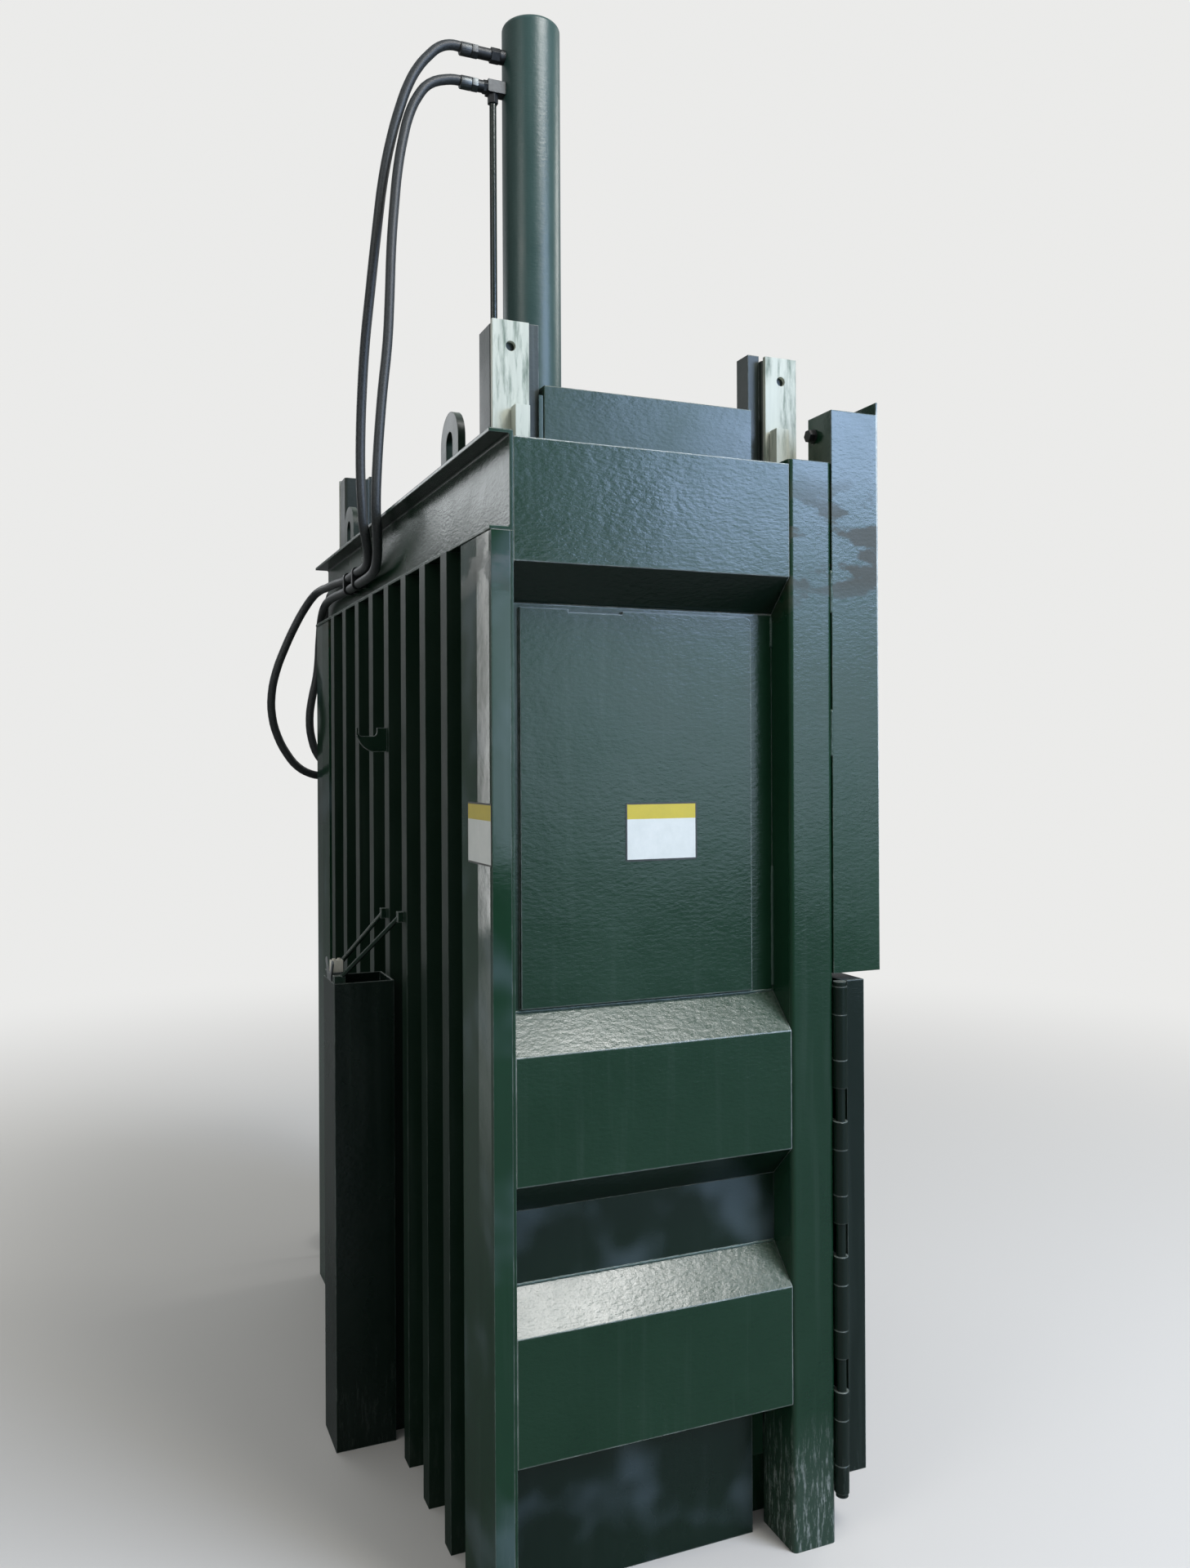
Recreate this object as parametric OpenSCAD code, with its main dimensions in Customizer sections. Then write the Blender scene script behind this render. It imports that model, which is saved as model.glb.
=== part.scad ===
// Vertical downstroke recycling baler.
// Row frame in millimetres: the front faces -Y, the width runs along X, +Z is up.
// The origin is on the floor, under the middle of the baling chamber.

/* [Overall size] */

// Width over the side frames.
body_w = 1778; // [1600:1:1950]
// Height of the frame over the rear top channel.
body_h = 2230; // [2180:1:2330]
// Depth of the chamber, from the front of the posts to the rear wall.
chamber_d = 694; // [640:1:760]
// Height of the chamber floor above the ground.
floor_z = 175; // [165:1:190]

/* [Front posts] */

// Width of a front post across the machine.
post_w = 127; // [110:1:140]
// Depth of a front post, front to back.
post_d = 102; // [90:1:120]
// Wall of a front post.
post_t = 8; // [5:0.5:10]
// Outer corner radius of a front post.
post_r = 10; // [8:0.5:14]

/* [Side walls] */

// Distance from the face of the side beams to the outer wall plate.
skin_inset = 72; // [60:1:85]
// Thickness of the outer wall plates and of the chamber liners.
plate_t = 6; // [4:0.5:8]
// Height of the flat face of the lower two side beams.
beam_h = 240; // [200:1:260]
// Height that a side beam gains on its slope up to the wall.
beam_rise = 70; // [50:1:80]
// Sheet thickness of the side beams.
beam_t = 6; // [4:0.5:8]
// Height of the lowest side beam's lower edge.
beam_low_z = 305; // [290:1:330]
// Height of the middle side beam's lower edge.
beam_mid_z = 826; // [800:1:850]
// Height of the flat face of the top side beam.
beam_top_h = 230; // [200:1:250]
// Step from the top of the frame down to the top side beams.
beam_top_step = 11; // [8:1:20]
// Thickness of the doubler plate on the upper wall panel.
doubler_t = 8; // [5:1:10]
// Distance from the outer wall plates to the toe plates under the lowest side beams.
toe_in = 25; // [20:1:30]
// Distance from a toe plate to the front post.
toe_front = 40; // [30:1:60]
// Distance from a doubler to the rear wall.
doubler_rear = 34; // [20:1:60]
// Distance from a doubler to the front post.
doubler_front = 54; // [30:1:80]
// Depth of the notch in the top edge of a doubler.
notch_d = 6; // [4:1:12]
// Width of the notch in the top edge of a doubler.
notch_w = 115; // [80:1:150]

/* [Rear wall] */

// Thickness of the rear wall plate.
wall_t = 6; // [5:0.5:8]
// Number of tie channels on the rear wall.
rib_count = 8; // [6:1:9]
// Width of a tie channel.
rib_w = 45; // [40:1:55]
// Depth of a tie channel.
rib_d = 45; // [38:1:55]
// Wall of a tie channel.
rib_t = 5; // [4:0.5:6]
// Distance from the side of the machine to the first tie channel.
rib_margin = 271; // [250:1:290]
// Width of a corner channel.
corner_w = 193; // [170:1:215]
// Depth of a corner channel.
corner_d = 38; // [30:1:45]
// Wall of a corner channel.
corner_t = 7; // [5:0.5:8]
// Height of the rear top channel.
topch_h = 186; // [170:1:210]
// Depth of the rear top channel.
topch_d = 47; // [44:1:52]
// Wall of the rear top channel.
topch_t = 7; // [5:0.5:8]
// Width of a tie slot or tie groove.
slot_w = 25; // [20:1:30]
// Height of the upper end of the tie slots.
slot_top_z = 1750; // [1650:1:1800]

/* [Base] */

// Distance from the side of the machine to the base rails.
base_inset = 160; // [150:1:175]
// Thickness of the base plates.
base_t = 10; // [8:1:14]
// Thickness of the chamber floor sheet.
floor_t = 8; // [6:1:10]
// Depth of a tie groove in the floor and in the platen.
groove_d = 25; // [20:1:30]
// Width of a floor runner.
runner_w = 60; // [50:1:80]

/* [Front frame] */

// Height of the header over the feed opening.
header_h = 380; // [350:1:400]
// Depth of the header's flanges.
header_d = 38; // [30:1:40]
// Wall of the header and of the sill.
header_t = 8; // [6:1:10]
// Height of the sill channel.
sill_h = 80; // [60:1:90]
// Depth of the sill channel.
sill_d = 22; // [18:1:23]

/* [Feed gate] */

// Depth of a gate guide.
guide_d = 110; // [100:1:125]
// Width of a gate guide.
guide_w = 87; // [80:1:100]
// Wall of a gate guide.
guide_t = 6; // [5:0.5:8]
// Height of a gate guide's lower end.
guide_low_z = 1175; // [1168:1:1185]
// Height of a gate guide over the top of the frame.
guide_over = 110; // [100:1:150]
// Height of the gate.
gate_h = 694; // [685:1:720]
// Thickness of the gate's sheet.
gate_t = 4; // [3:0.5:6]
// Depth of the gate's edge frame.
gate_frame_d = 30; // [25:1:35]
// Height of a gate slide shoe.
shoe_h = 120; // [90:1:140]
// Travel of the gate.
gate_lift = 608; // [500:1:608]
// Distance from the top of a gate guide down to the gate's stop bolts.
stop_low = 40; // [30:1:42]

/* [Bale door] */

// Height of the door's lower edge.
door_low_z = 136; // [125:1:150]
// Height of the door's upper edge.
door_top_z = 1158; // [1150:1:1162]
// Thickness of the door over its frame.
door_t = 50; // [45:1:60]
// Thickness of the door's sheet.
door_skin_t = 8; // [6:1:10]
// Gap between the posts and the door's sheet.
door_gap = 25; // [24:1:28]
// Distance that the door's ends stay inside the side frames.
door_inset = 2; // [1:0.5:4]
// Height of a door beam.
door_beam_h = 110; // [90:1:130]
// Wall of the door beams and of the door's edge frame.
door_beam_t = 6; // [5:0.5:8]

/* [Door hinge] */

// Diameter of a hinge knuckle.
knuckle_d = 30; // [26:0.5:31]
// Diameter of the hinge pin.
pin_d = 20; // [16:0.5:22]
// Radial clearance of the hinge pin in a knuckle.
pin_gap = 0.05; // [0.02:0.01:0.1]
// Number of hinges.
hinge_count = 4; // [3:1:4]
// Height of one hinge.
hinge_h = 210; // [190:1:230]
// Height of the middle knuckle of a hinge.
hinge_mid_h = 94; // [80:1:110]
// Distance of the hinge pin in front of the posts.
hinge_out = 13; // [12:0.5:14]

/* [Platen] */

// Distance from the top of the frame down to the platen's lower face at rest.
platen_low = 330; // [320:1:345]
// Height of the platen's box.
platen_h = 125; // [115:1:130]
// Side clearance of the platen in the chamber.
platen_gap = 6; // [4:1:10]
// Front and rear clearance of the platen in the chamber.
platen_end_gap = 4; // [3:1:8]
// Thickness of the platen's lower plate.
platen_t = 12; // [10:1:16]
// Height of the platen's side plates over the top of the frame.
side_over = 132; // [100:1:160]
// Height of the guide legs over the top of the frame.
leg_over = 244; // [200:1:260]
// Height of the wear strips over the guide legs.
wear_over = 6; // [0:1:30]
// Width of a guide leg, front to back.
leg_w = 78; // [70:1:80]
// Depth of a guide leg, across the machine.
leg_d = 80; // [70:1:90]
// Wall of a guide leg.
leg_t = 6; // [4:0.5:8]
// Thickness of a wear strip.
wear_t = 10; // [8:1:12]
// Width of a wear strip.
wear_w = 76; // [50:1:78]
// Diameter of the hole near the top of a wear strip.
wear_hole_d = 20; // [14:1:26]

/* [Cylinder] */

// Outer diameter of the barrel.
barrel_d = 152; // [146:1:160]
// Distance of the cylinder's axis in front of the middle of the chamber.
cyl_front = 14; // [0:1:20]
// Wall of the barrel.
barrel_t = 12; // [10:1:14]
// Diameter of the piston rod.
rod_d = 90; // [80:1:95]
// Radial clearance of the rod and of the piston.
rod_gap = 0.05; // [0.02:0.01:0.1]
// Diameter of the cylinder's lower head.
gland_d = 184; // [176:1:186]
// Height of the cylinder's lower head.
gland_h = 100; // [80:1:110]
// Travel of the platen.
stroke = 1100; // [900:1:1100]
// Distance between the two beams that carry the cylinder.
cross_gap = 190; // [188:1:200]
// Width of a cylinder beam.
cross_w = 55; // [45:1:65]
// Diameter of the return pipe.
pipe_d = 18; // [12:1:20]

/* [Rear fittings] */

// Width of the tie box.
box_w = 135; // [110:1:160]
// Depth of the tie box.
box_d = 142; // [120:1:160]
// Height of the tie box.
box_h = 1097; // [1000:1:1140]
// Sheet thickness of the tie box.
box_t = 4; // [3:0.5:5]
// Diameter of a stay rod.
stay_d = 11; // [9:1:14]
// Width of a lifting eye.
eye_w = 130; // [110:1:150]
// Height of a lifting eye.
eye_h = 125; // [110:1:140]
// Thickness of a lifting eye.
eye_t = 16; // [12:1:20]
// Radius of a lifting eye's bore.
eye_r = 24; // [18:1:28]

/* [Power unit] */

// Length of the oil tank, front to back.
tank_l = 440; // [380:1:440]
// Width of the oil tank, across the machine.
tank_w = 320; // [280:1:340]
// Height of the oil tank.
tank_h = 400; // [360:1:410]
// Diameter of the pump motor.
motor_d = 190; // [160:1:210]
// Height of the pump motor.
motor_h = 290; // [240:1:340]

/* [Control box] */

// Width of the control box.
ctrl_w = 300; // [260:1:340]
// Height of the control box.
ctrl_h = 400; // [360:1:440]
// Depth of the control box.
ctrl_d = 180; // [150:1:200]
// Diameter of a push button.
button_d = 30; // [24:1:34]

/* [Door latch] */

// Diameter of the latch screw.
screw_d = 24; // [20:1:26]
// Length of the latch screw from its pivot.
screw_l = 250; // [240:1:270]
// Travel of the handwheel along the latch screw.
latch_travel = 24; // [16:1:30]
// Diameter of the latch handwheel.
wheel_d = 220; // [180:1:240]
// Thickness of the handwheel's rim.
wheel_rim = 16; // [12:1:20]

/* [Hidden] */

$fn = 48;
// The sub-part to show, or all of them.

hw = body_w / 2;
front_y = -chamber_d / 2;
rear_y = chamber_d / 2;
wall_y = rear_y + wall_t;
liner_x = hw - post_w;
skin_x = hw - skin_inset;
toe_x = skin_x - toe_in;
post_ry = front_y + post_d;
side_top = body_h - beam_top_step;
topch_z = body_h - topch_h;
rib_pitch = (body_w - 2 * rib_margin - rib_w) / (rib_count - 1);
base_x = hw - base_inset;
header_z = body_h - header_h;
guide_top_z = body_h + guide_over;
stop_z = guide_top_z - stop_low;
platen_z = body_h - platen_low;
deck_t = 5;
deck_z = floor_z - groove_d - deck_t;
seat = 0.3;

// Slope of the side beams, and its wall measured upright.
beam_m = beam_rise / skin_inset;
beam_v = beam_t * sqrt(1 + beam_m * beam_m);

// Hinge axis and door planes.
hinge_x = -(hw + 2);
hinge_y = front_y - hinge_out;
door_in_y = front_y - door_gap;
door_out_y = door_in_y - door_t;

// Hinge end of the door's sheet, which clears the knuckles of the frame.
door_edge_x = hinge_x + sqrt(max(pow(knuckle_d / 2 + 0.6, 2) - pow(door_gap - hinge_out, 2), 1));
hinge_top_z = door_top_z - 9;
sill_top_z = door_top_z - 13;
hinge_pitch = (hinge_top_z - hinge_h - (door_low_z - 33)) / (hinge_count - 1);
knuckle_side_h = (hinge_h - hinge_mid_h) / 2;

// Gate planes: the shoes run between the flanges of the guides.
guide_in_y = front_y - guide_t;
guide_out_y = front_y - guide_d + guide_t;
strip_t = 4;
strip_over = 26;
gate_y = front_y - header_d - 6;
gate_half = hw - guide_t - 8;
gate_z = guide_low_z + guide_t + seat;
shoe_top_z = stop_z - gate_lift - 16;
stop_x = hw - 66;
stop_r = 8;

// Platen planes.
platen_x = liner_x - platen_gap;
platen_y = rear_y - platen_end_gap;
platen_top = platen_z + platen_h;
wear_x = liner_x - 3;
leg_x = wear_x - wear_t;
leg_top = body_h + leg_over;
guide_bar_w = 27;
side_plate_top = body_h + side_over;
side_plate_t = 8;

// Cylinder levels.
cross_z = platen_top + 11;
cross_top = body_h - 8;
mount_t = 25;
gland_z = cross_z + 24;
gland_top = gland_z + gland_h;
cap_h = 50;
barrel_r = barrel_d / 2;
bore_r = barrel_r - barrel_t;
rod_r = rod_d / 2;
piston_h = 60;
piston_z = gland_top + 80 + stroke;
cyl_top_z = piston_z + piston_h + 88 + cap_h;
port_a_z = cyl_top_z - 92;
port_b_z = cyl_top_z - 178;
port_c_z = gland_top + 130;
pipe_y = barrel_r + 20 + pipe_d / 2;

// Rear fittings.
rib_out = wall_y + rib_d;
box_x = -152;
hook_rib = 3;
hook_z = 1641;

// Power unit and control box.
shelf_z = beam_mid_z + beam_h + 14;
tank_x = hw + 16;
tank_y = -150;
tank_z = shelf_z + base_t;
lid_z = tank_z + tank_h;
valve_y = tank_y + tank_l - 90;
ctrl_x = hw + 10;
ctrl_z = 1250;
ctrl_y = front_y + 2;

// Latch: the screw swings about a pin on the side of the far post.
latch_x = hw + 36;
latch_y = front_y + 47;
latch_z = 640;
fork_y = door_out_y + 22;
nut_x = latch_x + latch_y - fork_y + 14 + latch_travel + seat;

// Hoses, as points along their centre lines.
hose_r = 12.5;
hose_a_route = [
    [0, 134, 3446], [0, 146, 3446], [0, 178, 3450], [0, 206, 3449], [1, 234, 3437],
    [2, 260, 3412], [4, 288, 3376], [7, 312, 3330], [12, 333, 3270], [19, 353, 3195],
    [30, 372, 3094], [44, 386, 2967], [64, 401, 2800], [80, 410, 2686], [95, 415, 2565],
    [102, 418, 2443], [102, 418, 2340], [103, 415, 2275], [109, 410, 2226],
    [122, 400, 2188], [146, 390, 2160], [182, 383, 2144], [240, 378, 2138],
    [320, 378, 2138], [490, 378, 2138], [600, 378, 2146], [700, 379, 2151],
    [790, 380, 2154], [848, 386, 2154], [882, 400, 2142], [901, 424, 2106],
    [908, 452, 2054], [913, 486, 1978], [917, 514, 1900], [921, 527, 1830], [926, 525, 1762],
    [931, 508, 1700], [936, 478, 1643], [942, 444, 1603], [952, 402, 1580],
    [960, 365, 1573], [965, 332, 1572], [966, 314, 1572], [966, 302, 1572]
];
hose_b_route = [
    [0, 134, 3360], [0, 146, 3360], [0, 180, 3363], [0, 216, 3358], [0, 261, 3337],
    [0, 290, 3300], [0, 313, 3248], [-2, 328, 3190], [-5, 343, 3108], [-8, 353, 3019],
    [-14, 363, 2905], [-22, 370, 2775], [-30, 378, 2656], [-38, 393, 2530],
    [-46, 405, 2406], [-50, 411, 2320], [-50, 413, 2270], [-46, 412, 2226],
    [-30, 406, 2186], [2, 398, 2152], [46, 390, 2126], [100, 383, 2112],
    [170, 378, 2107], [240, 376, 2107], [320, 376, 2107], [490, 376, 2107], [600, 376, 2111],
    [700, 375, 2114], [770, 375, 2113], [830, 375, 2106], [872, 376, 2088],
    [899, 377, 2058], [911, 378, 2020], [914, 380, 1985],
    [914, 382, 1945], [912, 389, 1885], [911, 404, 1815],
    [911, 411, 1755], [914, 404, 1690], [920, 382, 1636], [927, 350, 1606],
    [930, 324, 1597], [930, 312, 1597], [930, 302, 1597]
];

function ramp(v, a, b) = min(max((v - a) / (b - a), 0), 1);

// Sizes that the hose points were laid out with.
laid_hw = 889;
laid_rear_y = 347;
laid_lid_z = 1490;
laid_body_h = 2230;
laid_port_z = 3446;

// Takes a hose point with the frame, the cylinder and the oil tank when their sizes change.
function led(p) =
    let (up = ramp(p[2], 1620, 2044), over = ramp(p[2], 2300, 3190))
    let (frame_z = (body_h - laid_body_h) * up * (1 - over), port_z = (port_a_z - laid_port_z) * over)
    [
        p[0] + (hw - laid_hw) * ramp(p[0], 600, 790),
        p[1] + (rear_y - laid_rear_y) * up * (1 - over),
        p[2] + (lid_z - laid_lid_z) * (1 - up) + frame_z + port_z
    ];
hose_a_pts = [for (p = hose_a_route) led(p)];
hose_b_pts = [for (p = hose_b_route) led(p)];

// Supply cable, from its gland down the far side to its coil on the floor.
cable_r = 9;
gland_cone = 31;
cable_pts = [
    [944, 336, 2160], [949, 336, 2160], [967, 336, 2157], [985, 336, 2150],
    [1000, 336, 2138], [1012, 336, 2123], [1019, 336, 2105], [1022, 336, 2086],
    [1023, 336, 1900], [1025, 337, 1600], [1027, 338, 1200], [1029, 338, 800],
    [1031, 338, 400], [1033, 338, 110], [1033, 335, 84], [1033, 325, 60],
    [1033, 309, 39], [1033, 288, 23], [1033, 264, 13], [1033, 238, 9.5], [1033, 212, 9.5]
];
coil_r = 100;
coil_x = 1142;
coil_y = 205;

// Rectangle with rounded corners, centred.
module round_rect(w, h, r) {
    square([w - 2 * r, h], center = true);
    square([w, h - 2 * r], center = true);
    for (sx = [-1, 1]) {
        for (sy = [-1, 1]) {
            translate([sx * (w / 2 - r), sy * (h / 2 - r)]) circle(r = r);
        }
    }
}

// Wall of a rectangular tube, centred.
module tube_section(w, h, t, r) {
    difference() {
        round_rect(w, h, r);
        round_rect(w - 2 * t, h - 2 * t, max(r - t, 1));
    }
}

// Channel section: web on the x = 0 side, flanges along +x, height along y.
module channel_section(h, d, t, r) {
    difference() {
        square([d, h]);
        translate([t + r, t]) square([d, h - 2 * t]);
        translate([t, t + r]) square([d, h - 2 * t - 2 * r]);
        for (y = [t + r, h - t - r]) {
            translate([t + r, y]) circle(r = r);
        }
    }
}

// Extrudes a section drawn in x and z along y.
module along_y(y0, y1) {
    translate([0, y1, 0]) rotate([90, 0, 0]) linear_extrude(y1 - y0) children();
}

// Extrudes a section drawn in y and z along x.
module along_x(x0, x1) {
    translate([x0, 0, 0]) rotate([90, 0, 90]) linear_extrude(x1 - x0) children();
}

// A piece and its twin on the other side.
module both_sides() {
    children();
    mirror([1, 0, 0]) children();
}

// A piece and its twin at the other end, front and rear.
module front_and_rear() {
    children();
    mirror([0, 1, 0]) children();
}

// Places a piece at each tie position.
module at_ties() {
    for (k = [0 : rib_count - 1]) {
        translate([-hw + rib_margin + rib_w / 2 + k * rib_pitch, 0, 0]) children();
    }
}

function tie_x(k) = -hw + rib_margin + rib_w / 2 + k * rib_pitch;

function unit(v) = v / norm(v);

// Carries a frame along a route, so that the rings don't twist.
function carry(pts, i, a) =
    let (last = len(pts) - 1)
    let (dir = unit(pts[min(i + 1, last)] - pts[max(i - 1, 0)]))
    let (b = unit(a - (a * dir) * dir))
    i == last ? [[dir, b]] : concat([[dir, b]], carry(pts, i + 1, b));

// Tube along a route.
module sweep(pts, r, n) {
    frames = carry(pts, 0, [1, 0.1, 0.2]);
    count = len(pts);
    rings = [
        for (i = [0 : count - 1])
            let (dir = frames[i][0], a = frames[i][1], b = cross(dir, a))
            for (j = [0 : n - 1]) pts[i] + r * (cos(360 * j / n) * a + sin(360 * j / n) * b)
    ];
    sides = [
        for (i = [0 : count - 2])
            for (j = [0 : n - 1])
                let (k = (j + 1) % n)
                [i * n + j, (i + 1) * n + j, (i + 1) * n + k, i * n + k]
    ];
    start = [[for (j = [0 : n - 1]) j]];
    stop = [[for (j = [0 : n - 1]) count * n - 1 - j]];
    polyhedron(points = rings, faces = concat(sides, start, stop), convexity = 6);
}

// Base: bottom plate, side rails, runners and the deck that they carry.
module base_frame() {
    color("#1d3a2c") {
        translate([-base_x, front_y, 0]) cube([2 * base_x, chamber_d, base_t]);
        both_sides() translate([base_x - base_t, front_y, base_t])
            cube([base_t, chamber_d, deck_z - base_t]);
        for (k = [0 : rib_count - 2]) {
            x = (tie_x(k) + tie_x(k + 1)) / 2;
            along_y(front_y, rear_y) translate([x, (deck_z + base_t) / 2])
                tube_section(runner_w, deck_z - base_t, 5, 6);
        }
        translate([-liner_x, front_y, deck_z]) cube([2 * liner_x, chamber_d, deck_t]);
    }
}

// Chamber floor: folded bars on the deck, with a groove for a tie between two bars.
module bale_floor() {
    z = deck_z + deck_t;
    color("#3b403c") along_y(front_y, rear_y) for (k = [0 : rib_count]) {
        x0 = k == 0 ? -liner_x : tie_x(k - 1) + slot_w / 2;
        x1 = k == rib_count ? liner_x : tie_x(k) - slot_w / 2;
        difference() {
            translate([x0, z]) square([x1 - x0, floor_z - z]);
            translate([x0 + 6, z - 1]) square([x1 - x0 - 12, floor_z - floor_t - z + 1]);
        }
    }
}

// Rear wall plate with a slot behind each tie.
module rear_wall() {
    color("#1f4031") difference() {
        translate([-hw, rear_y, 0]) cube([body_w, wall_t, topch_z]);
        at_ties() translate([-slot_w / 2, rear_y - 1, floor_z - groove_d])
            cube([slot_w, wall_t + 2, slot_top_z - floor_z + groove_d]);
    }
}

// Channels over the slots of the rear wall, which lead the ties up.
module tie_channels() {
    color("#214535") at_ties() translate([0, wall_y, 0]) linear_extrude(topch_z) {
        difference() {
            translate([-rib_w / 2, 0]) square([rib_w, rib_d]);
            translate([-rib_w / 2 + rib_t, -1]) square([rib_w - 2 * rib_t, rib_d - rib_t + 1]);
        }
    }
}

// Upright channels at the rear corners, flanges against the wall.
module corner_channels() {
    color("#2a4b3b") both_sides() translate([hw, wall_y + corner_d, 0]) rotate([0, 0, -90])
        linear_extrude(topch_z) mirror([0, 1]) channel_section(corner_w, corner_d, corner_t, 5);
}

// Channel across the top of the rear wall, open to the rear.
module rear_top_channel() {
    color("#2a4b3b") along_x(-hw, hw) translate([rear_y, topch_z])
        channel_section(topch_h, topch_d, topch_t, 5);
}

// Front posts.
module front_posts() {
    color("#234536") both_sides()
        translate([hw - post_w / 2, front_y + post_d / 2, 0]) linear_extrude(body_h)
            tube_section(post_w, post_d, post_t, post_r);
}

// Section of a side beam that is bent from sheet, with both returns sloped.
module beam_section(z, sloped_low) {
    low = sloped_low ? beam_rise : 0;
    m = low / skin_inset;
    v = beam_t * sqrt(1 + m * m);
    difference() {
        polygon([[skin_x, z - low], [hw, z], [hw, z + beam_h], [skin_x, z + beam_h + beam_rise]]);
        polygon([
            [skin_x - 1, z - low - m + v], [hw - beam_t, z - m * beam_t + v],
            [hw - beam_t, z + beam_h + beam_m * beam_t - beam_v],
            [skin_x - 1, z + beam_h + beam_rise + beam_m - beam_v]
        ]);
    }
}

// Lower and middle side beams.
module side_beams() {
    color("#1f4232") both_sides() along_y(post_ry, rear_y) {
        beam_section(beam_low_z, false);
        beam_section(beam_mid_z, true);
    }
}

// Top side beams: a top flange, a face and a sloped return.
module top_side_beams() {
    z = side_top - beam_top_h;
    color("#2b4f43") both_sides() along_y(post_ry, rear_y) polygon([
        [skin_x, z - beam_rise], [hw, z], [hw, side_top], [liner_x, side_top],
        [liner_x, side_top - beam_t], [hw - beam_t, side_top - beam_t],
        [hw - beam_t, z - beam_m * beam_t + beam_v],
        [skin_x, z - beam_rise + beam_v]
    ]);
}

// Outer wall plates of the sides, with the toe plate that closes the side down to the floor and
// the doubler plate that is welded on the upper panel.
// The doubler has a notched top edge and one rounded corner.
module side_skins() {
    z0 = beam_mid_z + beam_h + beam_rise + 6;
    z1 = side_top - beam_top_h - beam_rise - 8;
    y0 = post_ry + doubler_front;
    y1 = rear_y - doubler_rear;
    color("#1c3b2d") both_sides() {
        translate([skin_x - plate_t, post_ry, beam_low_z])
            cube([plate_t, rear_y - post_ry, side_top - beam_top_h - beam_rise - beam_low_z]);
        translate([toe_x - plate_t, post_ry + toe_front, 0])
            cube([plate_t, rear_y - post_ry - toe_front, beam_low_z]);
        translate([liner_x + plate_t, post_ry + toe_front, beam_low_z - plate_t])
            cube([skin_x - liner_x - plate_t, rear_y - post_ry - toe_front, plate_t]);
        along_x(skin_x, skin_x + doubler_t) difference() {
            union() {
                translate([y0, z0]) square([y1 - y0, z1 - z0 - 14]);
                translate([y0 + 14, z0]) square([y1 - y0 - 14, z1 - z0]);
                translate([y0 + 14, z1 - 14]) circle(r = 14);
            }
            translate([y1 - 100 - notch_w, z1 - notch_d]) square([notch_w, notch_d + 1]);
        }
    }
}

// Inner wall plates of the chamber.
module side_liners() {
    color("#4a4f4a") both_sides() translate([liner_x, post_ry, deck_z])
        cube([plate_t, rear_y - post_ry, side_top - beam_t - deck_z]);
}

// Channels over and under the feed opening.
module front_frame() {
    x = hw - guide_w;
    color("#234536") {
        along_x(-x, x) translate([front_y, header_z]) mirror([1, 0])
            channel_section(body_h - header_z, header_d, header_t, 4);
        along_x(-x, x) translate([front_y, sill_top_z - sill_h]) mirror([1, 0])
            channel_section(sill_h, sill_d, header_t, 3);
    }
}

// Guides of the feed gate, open towards the middle, closed below by a stop plate.
// A flat bar on the front flange stands over the top.
module gate_guides() {
    color("#2c5044") both_sides() {
        difference() {
            translate([hw, front_y - guide_d, guide_low_z]) mirror([1, 0, 0])
                linear_extrude(guide_top_z - guide_low_z) channel_section(guide_d, guide_w, guide_t, 4);
            translate([stop_x, front_y + 1, stop_z]) rotate([90, 0, 0])
                cylinder(r = stop_r + 0.05, h = guide_t + 2);
        }
        translate([hw - guide_w, guide_out_y - 1, guide_low_z])
            cube([guide_w - 1, guide_d - 2 * guide_t + 2, guide_t]);
        translate([hw - guide_w, front_y - guide_d - strip_t, guide_low_z])
            cube([guide_w, strip_t, guide_top_z + strip_over - guide_low_z]);
    }
}

// Bolts near the top of the guides, which stop the gate.
module gate_stop_bolts() {
    color("#2b2f2e") both_sides() translate([stop_x, front_y, stop_z]) {
        rotate([-90, 0, 0]) cylinder(d = 30, h = 3);
        translate([0, 3, 0]) rotate([-90, 0, 0]) cylinder(d = 26, h = 13, $fn = 6);
        rotate([90, 0, 0]) cylinder(r = stop_r, h = 35);
        translate([0, -guide_t, 0]) rotate([90, 0, 0]) cylinder(d = 26, h = 12, $fn = 6);
    }
}

// Keepers on the top side beams and on the front posts, beside the wear strips of the guide legs.
module leg_keepers() {
    y1 = platen_y - 36;
    color("#8f9488") both_sides() {
        translate([liner_x, y1 - 30, side_top]) cube([27, 30, 90]);
        translate([liner_x, -y1, body_h]) cube([27, 30, 90]);
    }
}

// Two channels from front to rear that carry the cylinder.
module cross_beams() {
    color("#234536") both_sides() along_y(front_y, rear_y)
        translate([cross_gap / 2, cross_z])
            channel_section(cross_top - cross_z, cross_w, 8, 5);
}

// Mounting plate of the cylinder, with its bolts.
module cylinder_mount() {
    half = cross_gap / 2 + cross_w;
    color("#2a4b3b") translate([0, -cyl_front, 0]) difference() {
        translate([0, 0, cross_top]) linear_extrude(mount_t) round_rect(2 * half, 2 * half, 12);
        translate([0, 0, cross_top - 1]) cylinder(r = barrel_r + 0.05, h = mount_t + 2);
    }
    color("#2b2f2e") for (sx = [-1, 1]) {
        for (sy = [-1, 1]) {
            translate([sx * (cross_gap / 2 + 30), sy * (half - 30) - cyl_front, cross_top + mount_t])
                cylinder(d = 30, h = 14, $fn = 6);
        }
    }
}

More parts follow.
